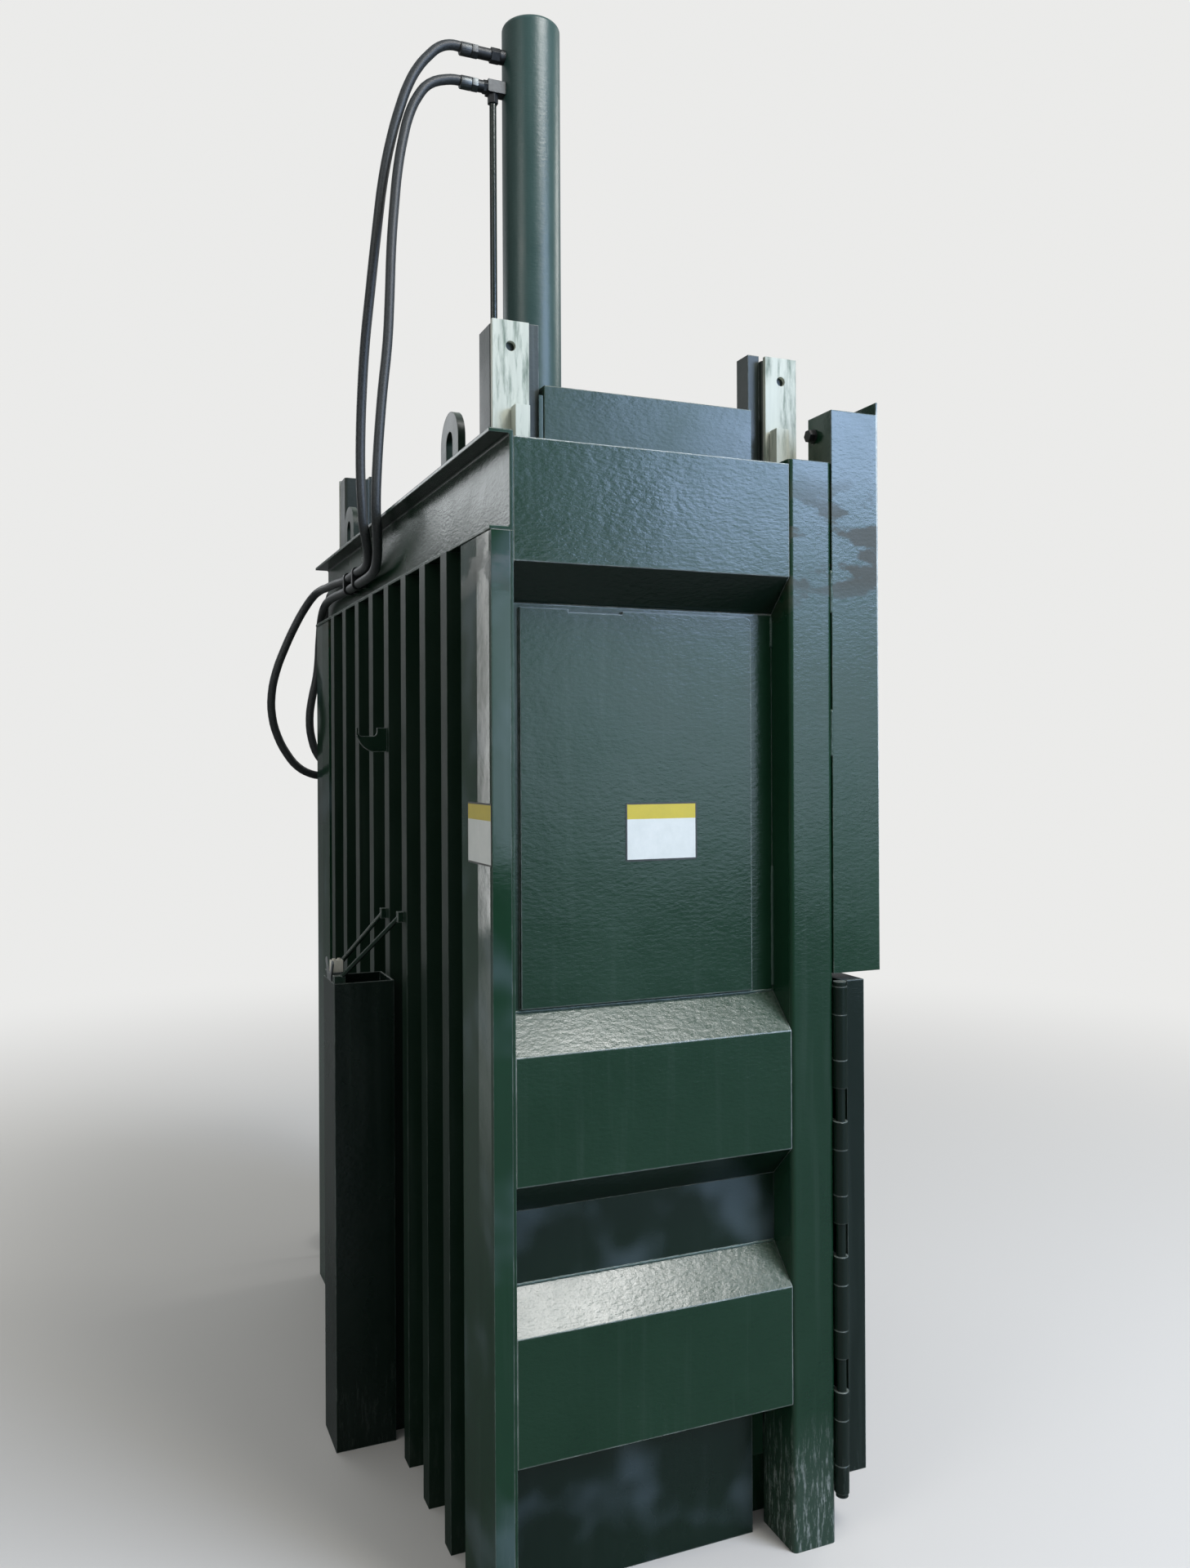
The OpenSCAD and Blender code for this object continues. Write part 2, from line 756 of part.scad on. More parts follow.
// Cylinder barrel with its bore, closed above by a welded cap with a rounded edge.
module barrel() {
    color("#24463a") translate([0, -cyl_front, 0]) difference() {
        union() {
            translate([0, 0, gland_top]) cylinder(r = barrel_r, h = cyl_top_z - cap_h - gland_top, $fn = 96);
            translate([0, 0, cyl_top_z - cap_h]) rotate_extrude($fn = 96) {
                square([barrel_r, cap_h - 14]);
                square([barrel_r - 14, cap_h]);
                translate([barrel_r - 14, cap_h - 14]) circle(r = 14);
            }
        }
        translate([0, 0, gland_top - 1])
            cylinder(r = bore_r, h = cyl_top_z - cap_h - gland_top + 1, $fn = 96);
    }
}

// Lower head of the cylinder, round the rod.
module rod_gland() {
    color("#4a4f4a") translate([0, -cyl_front, 0]) difference() {
        union() {
            translate([0, 0, gland_z]) cylinder(d = gland_d, h = gland_h, $fn = 96);
            translate([0, 0, gland_z - 8]) cylinder(r = rod_r + 18, h = 9, $fn = 96);
        }
        translate([0, 0, gland_z - 9]) cylinder(r = rod_r + rod_gap, h = gland_h + 10, $fn = 96);
    }
}

// Port bosses on the barrel and the fittings of both hoses and the return pipe.
module ports() {
    color("#2b2f2e") translate([0, -cyl_front, 0]) difference() {
        union() {
            for (z = [port_a_z, port_c_z]) {
                translate([0, barrel_r - 3, z]) rotate([-90, 0, 0]) cylinder(r = 18, h = 15);
            }
            translate([0, barrel_r + 12, port_a_z]) rotate([-90, 0, 0]) cylinder(d = 38, h = 24, $fn = 6);
            translate([0, barrel_r + 36, port_a_z]) rotate([-90, 0, 0]) cylinder(r = 15, h = 36);
            translate([-16, barrel_r - 4, port_b_z - 16]) cube([32, 50, 32]);
            translate([0, barrel_r + 46, port_b_z]) rotate([-90, 0, 0]) cylinder(d = 34, h = 10, $fn = 6);
            translate([0, barrel_r + 56, port_b_z]) rotate([-90, 0, 0]) cylinder(r = 15, h = 16);
            translate([0, pipe_y, port_b_z - 40]) cylinder(d = pipe_d + 10, h = 25, $fn = 6);
            translate([-14, barrel_r + 11, port_c_z - 14]) cube([28, 36, 28]);
            translate([0, pipe_y, port_c_z + 13]) cylinder(d = pipe_d + 10, h = 22, $fn = 6);
        }
        translate([0, 0, gland_top]) cylinder(r = barrel_r + 0.05, h = cyl_top_z, $fn = 96);
    }
}

// Return pipe to the lower end of the cylinder.
module return_pipe() {
    z0 = port_c_z + 35;
    color("#22302a") translate([0, pipe_y - cyl_front, z0]) cylinder(d = pipe_d, h = port_b_z - 40 - z0);
}

// Pressure hose.
module hose_a() {
    color("#15181a") sweep(hose_a_pts, hose_r, 10);
}

// Return hose.
module hose_b() {
    color("#15181a") sweep(hose_b_pts, hose_r, 10);
}

// Saddle clamps that hold both hoses in the rear top channel.
module line_clamps() {
    ya = hose_a_pts[22][1];
    za = hose_a_pts[22][2];
    zb = hose_b_pts[24][2];
    color("#8a8f90") for (x = [345, 460]) {
        along_x(x - 8, x + 8) difference() {
            union() {
                translate([ya - 1, (za + zb) / 2]) round_rect(31, za - zb + 31, 12);
                translate([rear_y + topch_t, zb - 10]) square([12, za - zb + 20]);
            }
            translate([ya, za]) circle(r = hose_r + 0.1);
            translate([ya - 2, zb]) circle(r = hose_r + 0.1);
        }
    }
}

// Lifting eyes on the rear top channel: upright arches with a tall arched hole.
module lifting_eyes() {
    r = eye_w / 2;
    color("#39564a") both_sides() translate([tie_x(rib_count - 1) - 73, rear_y + eye_t, body_h])
        along_y(-eye_t, 0) difference() {
            union() {
                translate([-r, 0]) square([eye_w, eye_h - r]);
                translate([0, eye_h - r]) circle(r = r);
            }
            translate([0, eye_h - r]) circle(r = eye_r);
            translate([-eye_r, 14]) square([2 * eye_r, eye_h - r - 14]);
            translate([-r - 1, -r]) square([eye_w + 2, r]);
        }
}

// Open tie box that stands behind the tie channels.
module tie_box() {
    color("#26382f") translate([box_x, rib_out, 0]) difference() {
        cube([box_w, box_d, box_h]);
        translate([box_t, box_t, box_t]) cube([box_w - 2 * box_t, box_d - 2 * box_t, box_h]);
    }
}

// A straight rod between two points.
module rod(a, b, d) {
    v = b - a;
    translate(a) rotate([0, acos(v[2] / norm(v)), atan2(v[1], v[0])]) cylinder(d = d, h = norm(v));
}

// Plate with an open hook on a tie channel, the two stay rods of the tie box and their cleats.
module tie_hooks() {
    y = rib_out;
    yb = rib_out + box_d - box_t;
    color("#39564a") translate([tie_x(hook_rib) - 4, 0, hook_z]) along_x(0, 8) difference() {
        polygon([
            [y, 0], [y + 36, 0], [y + 46, 4], [y + 56, 11], [y + 64, 20], [y + 70, 30],
            [y + 74, 42], [y + 75, 58], [y, 58]
        ]);
        translate([y + 47, 58]) round_rect(46, 40, 10);
    }
    color("#3a4a42") for (p = [[2, 1258, 12], [3, 1248, box_w - 30]]) {
        x = tie_x(p[0]) + 14;
        translate([x - 8, y, p[1] - 12]) cube([16, 14, 24]);
        rod([x, y + 8, p[1]], [box_x + p[2], yb - 10, box_h + 9], stay_d);
        translate([box_x + p[2] - 10, yb - 22, box_h]) cube([20, 22 + box_t, 18]);
    }
}

// Upright bracket on the rear rim of the tie box, with two arms.
module block_bracket() {
    y = rib_out + box_d - box_t;
    x = box_x + box_w / 2;
    color("#5a625c") translate([0, 0, box_h]) {
        along_y(y, y + box_t) polygon([
            [x - 22, 0], [x + 22, 0], [x + 22, 10], [x + 46, 44], [x + 36, 50], [x + 13, 18],
            [x - 13, 18], [x - 36, 50], [x - 46, 44], [x - 22, 10]
        ]);
        translate([x - 13, y - 24, 8]) cube([26, 24, 10]);
    }
}

// Pale block with two screws on the bracket of the tie box.
module clamp_block() {
    y = rib_out + box_d - box_t;
    x = box_x + box_w / 2;
    translate([x, y - 23, box_h + 18]) {
        color("#d8d4c0") translate([-12, -5, 0]) cube([24, 28, 28]);
        color("#3a3a38") for (sy = [3, 15]) {
            translate([0, sy, 28]) cylinder(d = 8, h = 4);
        }
    }
}

// Shelf and gussets that carry the oil tank on the far side.
module tank_shelf() {
    y1 = tank_y + tank_l;
    color("#234536") {
        translate([hw, tank_y, shelf_z]) cube([tank_w + 16, tank_l, base_t]);
        for (y = [tank_y, y1 - base_t]) {
            along_y(y, y + base_t) polygon([
                [hw, beam_mid_z + 8], [hw + 30, beam_mid_z + 8],
                [hw + tank_w, shelf_z - 20], [hw + tank_w, shelf_z], [hw, shelf_z]
            ]);
        }
    }
}

// Oil tank with its lid.
module oil_tank() {
    color("#24463a") translate([tank_x + tank_w / 2, tank_y + tank_l / 2, tank_z]) {
        linear_extrude(tank_h - 8) round_rect(tank_w - 16, tank_l - 16, 20);
        translate([0, 0, tank_h - 8]) linear_extrude(8) round_rect(tank_w, tank_l, 12);
    }
}

// Upright pump motor with fins and a fan cover.
module pump_motor() {
    color("#3b4a52") translate([tank_x + tank_w / 2 + 14, tank_y + 150, lid_z]) {
        linear_extrude(14) round_rect(motor_d + 20, motor_d + 20, 30);
        translate([0, 0, 14]) cylinder(d = motor_d - 18, h = motor_h - 80);
        for (a = [0 : 20 : 340]) {
            rotate([0, 0, a]) translate([motor_d / 2 - 12, -2, 30]) cube([9, 4, motor_h - 110]);
        }
        translate([0, 0, motor_h - 66]) cylinder(d = motor_d, h = 52);
        translate([0, 0, motor_h - 14]) cylinder(d = motor_d - 24, h = 14);
        translate([motor_d / 2 - 20, -40, 60]) cube([60, 80, 90]);
    }
}

// Valve block with its two ports and the filler cap on the tank's lid.
module valve_block() {
    color("#52585a") {
        translate([tank_x, valve_y, lid_z]) cube([96, 90, 135]);
        for (p = [hose_a_pts[len(hose_a_pts) - 1], hose_b_pts[len(hose_b_pts) - 1]]) {
            translate([p[0], valve_y + 90, p[2]]) rotate([-90, 0, 0])
                cylinder(r = 15, h = p[1] - valve_y - 90);
        }
        translate([tank_x + 48, valve_y + 40, lid_z + 135]) cylinder(d = 46, h = 60);
        translate([tank_x + 230, valve_y + 30, lid_z]) cylinder(d = 60, h = 40);
    }
}

// Places a button on the door plate of the control box, pointing forwards.
module on_panel(i, h) {
    translate([ctrl_x + ctrl_w / 2 + (i - 1) * 75, ctrl_y - 4, ctrl_z + h])
        rotate([90, 0, 0]) children();
}

// Control box on two rails, with a door plate and the collars of its buttons.
module control_box() {
    color("#8a9092") {
        for (z = [ctrl_z + 40, ctrl_z + ctrl_h - 70]) {
            translate([hw, ctrl_y + 20, z]) cube([10, ctrl_d - 60, 30]);
        }
        translate([ctrl_x, ctrl_y, ctrl_z]) cube([ctrl_w, ctrl_d, ctrl_h]);
        translate([ctrl_x + 12, ctrl_y - 4, ctrl_z + 12]) cube([ctrl_w - 24, 4, ctrl_h - 24]);
        for (p = [[0, 250], [2, 250], [1, 130]]) {
            on_panel(p[0], p[1]) difference() {
                cylinder(d = button_d + 12, h = 8);
                translate([0, 0, 2]) cylinder(r = button_d / 2 + 0.05, h = 8);
            }
        }
    }
}

// Start button.
module start_button() {
    color("#1f7a3a") on_panel(0, 250) translate([0, 0, 6]) cylinder(d = button_d, h = 8);
}

// Raise button.
module raise_button() {
    color("#1b1c1e") on_panel(2, 250) translate([0, 0, 6]) cylinder(d = button_d, h = 8);
}

// Emergency stop with its wide head.
module stop_button() {
    r = button_d / 2;
    color("#b3201c") on_panel(1, 130) {
        translate([0, 0, 6.5]) cylinder(r = r, h = 8);
        translate([0, 0, 14]) rotate_extrude() {
            square([r + 5, 12]);
            square([r + 1, 16]);
            translate([r + 1, 12]) circle(r = 4);
        }
    }
}

// Hinge knuckles and leaves on the near front post.
module post_knuckles() {
    color("#234536") for (k = [0 : hinge_count - 1]) {
        z0 = hinge_top_z - hinge_h - k * hinge_pitch;
        for (z = [z0, z0 + knuckle_side_h + hinge_mid_h]) {
            translate([0, 0, z]) difference() {
                union() {
                    translate([hinge_x, hinge_y, 0]) cylinder(d = knuckle_d, h = knuckle_side_h - 0.5);
                    translate([hinge_x, hinge_y + 3, 0])
                        cube([58, hinge_out - 3, knuckle_side_h - 0.5]);
                }
                translate([hinge_x, hinge_y, -1]) cylinder(r = pin_d / 2 + pin_gap, h = hinge_h);
            }
        }
    }
}

// Hinge knuckles and leaves on the bale door, and two jaws at its free end that take the latch screw.
module door_fittings() {
    color("#27483c") for (k = [0 : hinge_count - 1]) {
        z = hinge_top_z - hinge_h - k * hinge_pitch + knuckle_side_h;
        translate([0, 0, z]) difference() {
            union() {
                translate([hinge_x, hinge_y, 0]) cylinder(d = knuckle_d, h = hinge_mid_h - 0.5);
                translate([hinge_x, door_in_y, 0])
                    cube([48, door_gap - hinge_out - 2, hinge_mid_h - 0.5]);
            }
            translate([hinge_x, hinge_y, -1]) cylinder(r = pin_d / 2 + pin_gap, h = hinge_mid_h + 2);
            translate([hinge_x - 20, door_in_y - 20, -1]) cube([40, 20, hinge_mid_h + 2]);
        }
    }
    for (z = [latch_z - screw_d / 2 - 18, latch_z + screw_d / 2 + 3]) {
        color("#2a4b3b") translate([hw - door_inset, fork_y - 14, z]) cube([62, 14, 15]);
    }
}

// Pins of the door hinge and of the latch, with their heads and collars.
module pins() {
    z0 = hinge_top_z - hinge_h - (hinge_count - 1) * hinge_pitch;
    color("#5d6360") {
        translate([hinge_x, hinge_y, z0 - 8]) {
            cylinder(d = pin_d, h = hinge_top_z - z0 + 16);
            cylinder(d = knuckle_d - 4, h = 8);
            translate([0, 0, hinge_top_z - z0 + 8 - 0.5]) cylinder(d = knuckle_d - 3, h = 10);
        }
        translate([latch_x, latch_y, latch_z - 32]) {
            cylinder(r = 8, h = 62);
            cylinder(r = 13, h = 6);
            translate([0, 0, 58]) cylinder(r = 13, h = 6);
        }
    }
}

// Sheet of the bale door.
module door_skin() {
    color("#1c3b2d") translate([door_edge_x, door_in_y - door_skin_t, door_low_z])
        cube([hw - door_inset - door_edge_x, door_skin_t, door_top_z - door_low_z]);
}

// Edge frame and beams on the outside of the bale door.
module door_frame() {
    t = door_beam_t;
    x = hw - door_inset;
    y = door_in_y - door_skin_t;
    d = door_t - door_skin_t;
    h = door_top_z - door_low_z;
    color("#234536") {
        both_sides() translate([x - t, y - d, door_low_z]) cube([t, d, h]);
        for (z = [door_low_z, door_top_z - t]) {
            translate([-x + t, y - d, z]) cube([2 * x - 2 * t, d, t]);
        }
        for (k = [0 : 2]) {
            z = door_low_z + t + 60 + k * (h - 2 * t - 120 - door_beam_h) / 2;
            along_x(-x + t, x - t) translate([y - d, z])
                channel_section(door_beam_h, d, t, 4);
        }
    }
}

// Bars on the inside of the bale door, which leave a tie groove between them.
module door_bars() {
    z0 = floor_z + 6;
    z1 = sill_top_z - sill_h - 8;
    color("#3b403c") difference() {
        translate([-liner_x + 6, door_in_y, z0]) cube([2 * liner_x - 12, door_gap - 3, z1 - z0]);
        at_ties() translate([-slot_w / 2, door_in_y - 1, z0 - 1]) cube([slot_w, door_gap + 2, z1 - z0 + 2]);
    }
}

// Sheet of the feed gate.
module gate_sheet() {
    color("#27483c") translate([-gate_half, gate_y - gate_t, gate_z])
        cube([2 * gate_half, gate_t, gate_h]);
}

// Edge frame, stiffeners and bow handle of the feed gate.
module gate_frame() {
    d = gate_frame_d;
    y = gate_y - gate_t;
    t = 4;
    x = hw - guide_w - 8;
    color("#234536") {
        both_sides() translate([x - t, y - d, gate_z]) cube([t, d, gate_h]);
        for (z = [gate_z, gate_z + gate_h - t]) {
            translate([-x + t, y - d, z]) cube([2 * x - 2 * t, d, t]);
        }
        for (z = [gate_z + gate_h / 3, gate_z + 2 * gate_h / 3]) {
            along_x(-x + t, x - t) translate([y - d, z - 25]) channel_section(50, d, t, 3);
        }
        for (sx = [-90, 90]) {
            translate([sx, y, gate_z + 80]) rotate([90, 0, 0]) cylinder(d = 16, h = 56);
            translate([sx, y - 56, gate_z + 80]) sphere(d = 16);
        }
        translate([-90, y - 56, gate_z + 80]) rotate([0, 90, 0]) cylinder(d = 16, h = 180);
    }
}

// Slide shoes at the edges of the gate, in front of and behind its sheet.
module gate_shoes() {
    color("#e2dfd2") both_sides() for (z = [gate_z, shoe_top_z - shoe_h]) {
        translate([gate_half - 66, gate_y, z]) cube([66, guide_in_y - gate_y - seat, shoe_h]);
        translate([gate_half - 66, guide_out_y + seat, z])
            cube([66, gate_y - gate_t - guide_out_y - seat, shoe_h]);
    }
}

// Lower plate of the platen, grooved at each tie.
module platen_plate() {
    color("#3b403c") along_y(-platen_y, platen_y) difference() {
        union() {
            translate([-platen_x, platen_z]) square([2 * platen_x, platen_t]);
            at_ties() translate([-slot_w / 2 - 5, platen_z]) square([slot_w + 10, groove_d + 5]);
        }
        at_ties() translate([-slot_w / 2, platen_z - 1]) square([slot_w, groove_d + 1]);
    }
}

// Box frame on the platen: edge bars, two tubes across and the rod seat.
module platen_frame() {
    z0 = platen_z + groove_d + 5;
    h = platen_h - groove_d - 5;
    x = platen_x - leg_d - 24;
    color("#234536") {
        for (y = [-190, 190]) {
            along_x(-x, x) translate([y, z0 + h / 2]) tube_section(90, h, 6, 8);
        }
        front_and_rear() translate([-x, platen_y - 30, z0]) cube([2 * x, 10, h]);
        for (k = [0 : rib_count - 2]) {
            xk = (tie_x(k) + tie_x(k + 1)) / 2;
            translate([xk - 5, -platen_y + 30, platen_z + platen_t])
                cube([10, 2 * platen_y - 60, groove_d - 7 + 0.001]);
        }
        translate([-85, -145, z0]) cube([170, 290, h]);
    }
}

// Side plates of the platen, flanged inwards along the top.
module platen_sides() {
    y0 = -(platen_y - leg_w - guide_bar_w - 3);
    t = side_plate_t;
    color("#2b4d40") both_sides() along_y(y0, -y0) {
        translate([platen_x - t, platen_z + platen_t]) square([t, side_plate_top - platen_z - platen_t]);
        translate([platen_x - 40, side_plate_top - t]) square([40, t]);
    }
}

// Guide legs at the corners of the platen: a tube and the bar beside it.
module guide_legs() {
    z0 = platen_z + platen_t;
    y1 = platen_y + 1;
    color("#5c6f64") both_sides() front_and_rear() {
        translate([leg_x - leg_d / 2, y1 - leg_w / 2, z0]) linear_extrude(leg_top - z0)
            tube_section(leg_d, leg_w, leg_t, 8);
        translate([leg_x - 62, y1 - leg_w - guide_bar_w, z0])
            cube([48, guide_bar_w, leg_top + 13 - z0]);
    }
}

// Wear strips on the outer face of the guide legs, each with a hole near its top.
module wear_strips() {
    z0 = platen_z + platen_t;
    y1 = platen_y + 1;
    color("#d9d6c4") both_sides() front_and_rear() difference() {
        translate([leg_x, y1 - wear_w, z0]) cube([wear_t, wear_w, leg_top + wear_over - z0]);
        translate([leg_x - 1, y1 - wear_w / 2, leg_top + wear_over - 50]) rotate([0, 90, 0])
            cylinder(d = wear_hole_d, h = wear_t + 2);
    }
}

// Piston and rod, with the flange that is bolted to the platen.
module piston_rod() {
    color("#c8cccd") translate([0, -cyl_front, 0]) {
        translate([0, 0, platen_top]) cylinder(d = 140, h = 14, $fn = 96);
        translate([0, 0, platen_top]) cylinder(r = rod_r, h = piston_z - platen_top + 1, $fn = 96);
        translate([0, 0, piston_z]) cylinder(r = bore_r - rod_gap, h = piston_h, $fn = 96);
    }
}

// Pivot lugs of the latch on the side of the far post.
module latch_lugs() {
    color("#234536") for (z = [latch_z - 26, latch_z + 14.5]) {
        translate([0, 0, z]) difference() {
            union() {
                translate([hw, latch_y - 20, 0]) cube([latch_x - hw, 40, 11.5]);
                translate([latch_x, latch_y, 0]) cylinder(r = 20, h = 11.5);
            }
            translate([latch_x, latch_y, -1]) cylinder(r = 8.05, h = 14);
        }
    }
}

// Latch screw with its eye, swung to the side.
module latch_screw() {
    color("#7d8380") translate([latch_x, latch_y, latch_z]) {
        difference() {
            translate([0, 0, -14]) cylinder(r = 19, h = 28);
            translate([0, 0, -15]) cylinder(r = 8.05, h = 30);
        }
        difference() {
            translate([12, 0, 0]) rotate([0, 90, 0]) cylinder(d = screw_d, h = screw_l - 12);
            translate([0, 0, -15]) cylinder(r = 12, h = 30);
        }
    }
}

// Thrust washer of the handwheel.
module thrust_washer() {
    color("#7d8380") translate([nut_x, latch_y, latch_z]) rotate([0, 90, 0]) difference() {
        cylinder(d = screw_d + 30, h = 8);
        translate([0, 0, -1]) cylinder(r = screw_d / 2 + 0.05, h = 10);
    }
}

// Handwheel with its threaded hub.
module handwheel() {
    color("#2b2f2e") translate([nut_x + 8.3, latch_y, latch_z]) rotate([0, 90, 0]) difference() {
        union() {
            cylinder(d = screw_d + 22, h = 34);
            translate([0, 0, 17]) rotate_extrude()
                translate([wheel_d / 2 - wheel_rim / 2, 0]) circle(d = wheel_rim);
            for (a = [0, 60, 120]) {
                rotate([0, 0, a]) translate([-wheel_d / 2 + 8, 0, 17]) rotate([0, 90, 0])
                    cylinder(d = 12, h = wheel_d - 16);
            }
        }
        translate([0, 0, -1]) cylinder(r = screw_d / 2 + 0.05, h = 40);
    }
}

// Strain relief of the supply cable at the far end of the rear top channel.
module supply_gland() {
    color("#2a2c2e") translate([hw, rear_y - 11, body_h - 70]) {
        translate([0, -14, -22]) cube([10, 28, 44]);
        translate([10, 0, 0]) rotate([0, 90, 0]) cylinder(d = 34, h = 14, $fn = 6);
        translate([24, 0, 0]) rotate([0, 90, 0])
            rotate_extrude() polygon([[0, 0], [14, 0], [cable_r + 1, gland_cone], [0, gland_cone]]);
    }
}

// Supply cable from the gland down to its coil.
module supply_cable() {
    color("#1a1c1d") sweep(cable_pts, cable_r, 8);
}

// Coil of the supply cable on the floor.
module supply_coil() {
    color("#1a1c1d") translate([coil_x, coil_y, 0.3]) rotate_extrude()
        translate([coil_r - 18, 0]) square([36, 54]);
}

// Straight connector at the end of the supply cable, lying on the coil.
module supply_end() {
    color("#8a8f90") translate([coil_x, coil_y - coil_r, 54.3 + 14 * cos(30)]) rotate([0, 90, 0]) {
        translate([0, 0, -30]) cylinder(d = 22, h = 17);
        translate([0, 0, -14]) rotate([0, 0, 30]) cylinder(r = 14, h = 22, $fn = 6);
        translate([0, 0, 7]) cylinder(d = 22, h = 21);
    }
}

base_frame();
bale_floor();
rear_wall();
tie_channels();
corner_channels();
rear_top_channel();
front_posts();
side_beams();
top_side_beams();
side_skins();
side_liners();
front_frame();
gate_guides();
gate_stop_bolts();
leg_keepers();
cross_beams();
cylinder_mount();
barrel();
rod_gland();
ports();
return_pipe();
line_clamps();
hose_a();
hose_b();
lifting_eyes();
tie_box();
tie_hooks();
block_bracket();
clamp_block();
tank_shelf();
oil_tank();
pump_motor();
valve_block();
control_box();
start_button();
raise_button();
stop_button();
post_knuckles();
pins();
door_fittings();
door_skin();
door_frame();
door_bars();
gate_sheet();
gate_frame();
gate_shoes();
platen_plate();
platen_frame();
platen_sides();
guide_legs();
wear_strips();
piston_rod();
latch_lugs();
latch_screw();
thrust_washer();
handwheel();
supply_gland();
supply_cable();
supply_coil();
supply_end();
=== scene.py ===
import math

import bpy
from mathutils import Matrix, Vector


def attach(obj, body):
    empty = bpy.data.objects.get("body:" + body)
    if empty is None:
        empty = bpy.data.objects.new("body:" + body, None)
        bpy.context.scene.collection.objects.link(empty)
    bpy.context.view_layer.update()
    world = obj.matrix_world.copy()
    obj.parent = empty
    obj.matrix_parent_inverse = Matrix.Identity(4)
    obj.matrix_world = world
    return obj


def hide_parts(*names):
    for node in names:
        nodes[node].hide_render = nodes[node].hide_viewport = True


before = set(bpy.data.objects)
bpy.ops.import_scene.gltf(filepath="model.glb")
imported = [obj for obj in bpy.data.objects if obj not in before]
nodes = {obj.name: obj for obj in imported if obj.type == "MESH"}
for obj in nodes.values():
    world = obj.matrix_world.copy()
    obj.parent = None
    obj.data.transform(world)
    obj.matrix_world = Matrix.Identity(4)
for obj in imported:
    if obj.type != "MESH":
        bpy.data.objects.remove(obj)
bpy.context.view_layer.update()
bpy.ops.object.select_all(action="DESELECT")
print("frame loaded:", len(nodes), "nodes")


# camera, at a standing person's eye height off the rear corner on the hinge side

cameraSetup = {
    "place": (-3.053, 1.094, 1.616),
    "heading": (0.922, -0.387),
    "lens": 28.37,
    "sensorWidth": 36,
    "shiftY": -0.0146,
    "rollDegrees": 0.272,
    "farthest": 80,
}

turn = math.atan2(-cameraSetup["heading"][0], cameraSetup["heading"][1])
bpy.ops.object.camera_add(
    location=cameraSetup["place"],
    rotation=(math.radians(90), math.radians(cameraSetup["rollDegrees"]), turn),
)
view = bpy.context.object
view.name = "view"
view.data.lens = cameraSetup["lens"]
view.data.sensor_width = cameraSetup["sensorWidth"]
view.data.shift_y = cameraSetup["shiftY"]
view.data.clip_end = cameraSetup["farthest"]
bpy.context.scene.camera = view
bpy.context.scene.view_settings.view_transform = "Standard"
print("camera placed")


# supply cable and hoses, laid along the routes of the solids that they replace

supplyCable = {
    "diameter": 0.018,
    # in millimetres, from the gland down the far side to the floor
    "drop": [(944, 336, 2160), (949, 336, 2160), (967, 336, 2157), (985, 336, 2150), (1000, 336, 2138),
             (1012, 336, 2123), (1019, 336, 2105), (1022, 336, 2086), (1023, 336, 1900),
             (1025, 337, 1600), (1027, 338, 1200), (1029, 338, 800), (1031, 338, 400),
             (1033, 338, 110), (1033, 335, 84), (1033, 325, 60), (1033, 309, 39), (1033, 288, 23),
             (1033, 264, 13), (1033, 238, 9.5), (1033, 212, 9.4)],
    "coilCentre": (1142, 205),
    # turns, radius and height: two wraps side by side in three layers, then up to the connector
    "coilSteps": [(0.0, 109.1, 9.2), (0.75, 109.1, 9.2), (0.95, 90.9, 9.2), (1.55, 90.9, 9.2),
                  (1.75, 90.9, 27.3), (2.35, 90.9, 27.3), (2.55, 109.1, 27.3), (3.15, 109.1, 27.3),
                  (3.35, 109.1, 45.4), (3.95, 109.1, 45.4), (4.15, 90.9, 45.4), (4.75, 90.9, 45.4),
                  (4.95, 90.9, 63.6), (5.2, 104.4, 66.4)],
    "perTurn": 40,
}

cableRoute = [Vector(p) / 1000 for p in supplyCable["drop"]]
steps = supplyCable["coilSteps"]
for i in range(1, int(steps[-1][0] * supplyCable["perTurn"]) + 1):
    turns = i / supplyCable["perTurn"]
    for before, after in zip(steps, steps[1:]):
        if before[0] <= turns <= after[0]:
            share = (turns - before[0]) / (after[0] - before[0])
            share = share * share * (3 - 2 * share)  # eased in and out
            radius = before[1] + share * (after[1] - before[1])
            level = before[2] + share * (after[2] - before[2])
            break
    angle = math.pi + turns * 2 * math.pi
    cableRoute.append(Vector((supplyCable["coilCentre"][0] + radius * math.cos(angle),
                              supplyCable["coilCentre"][1] + radius * math.sin(angle), level)) / 1000)

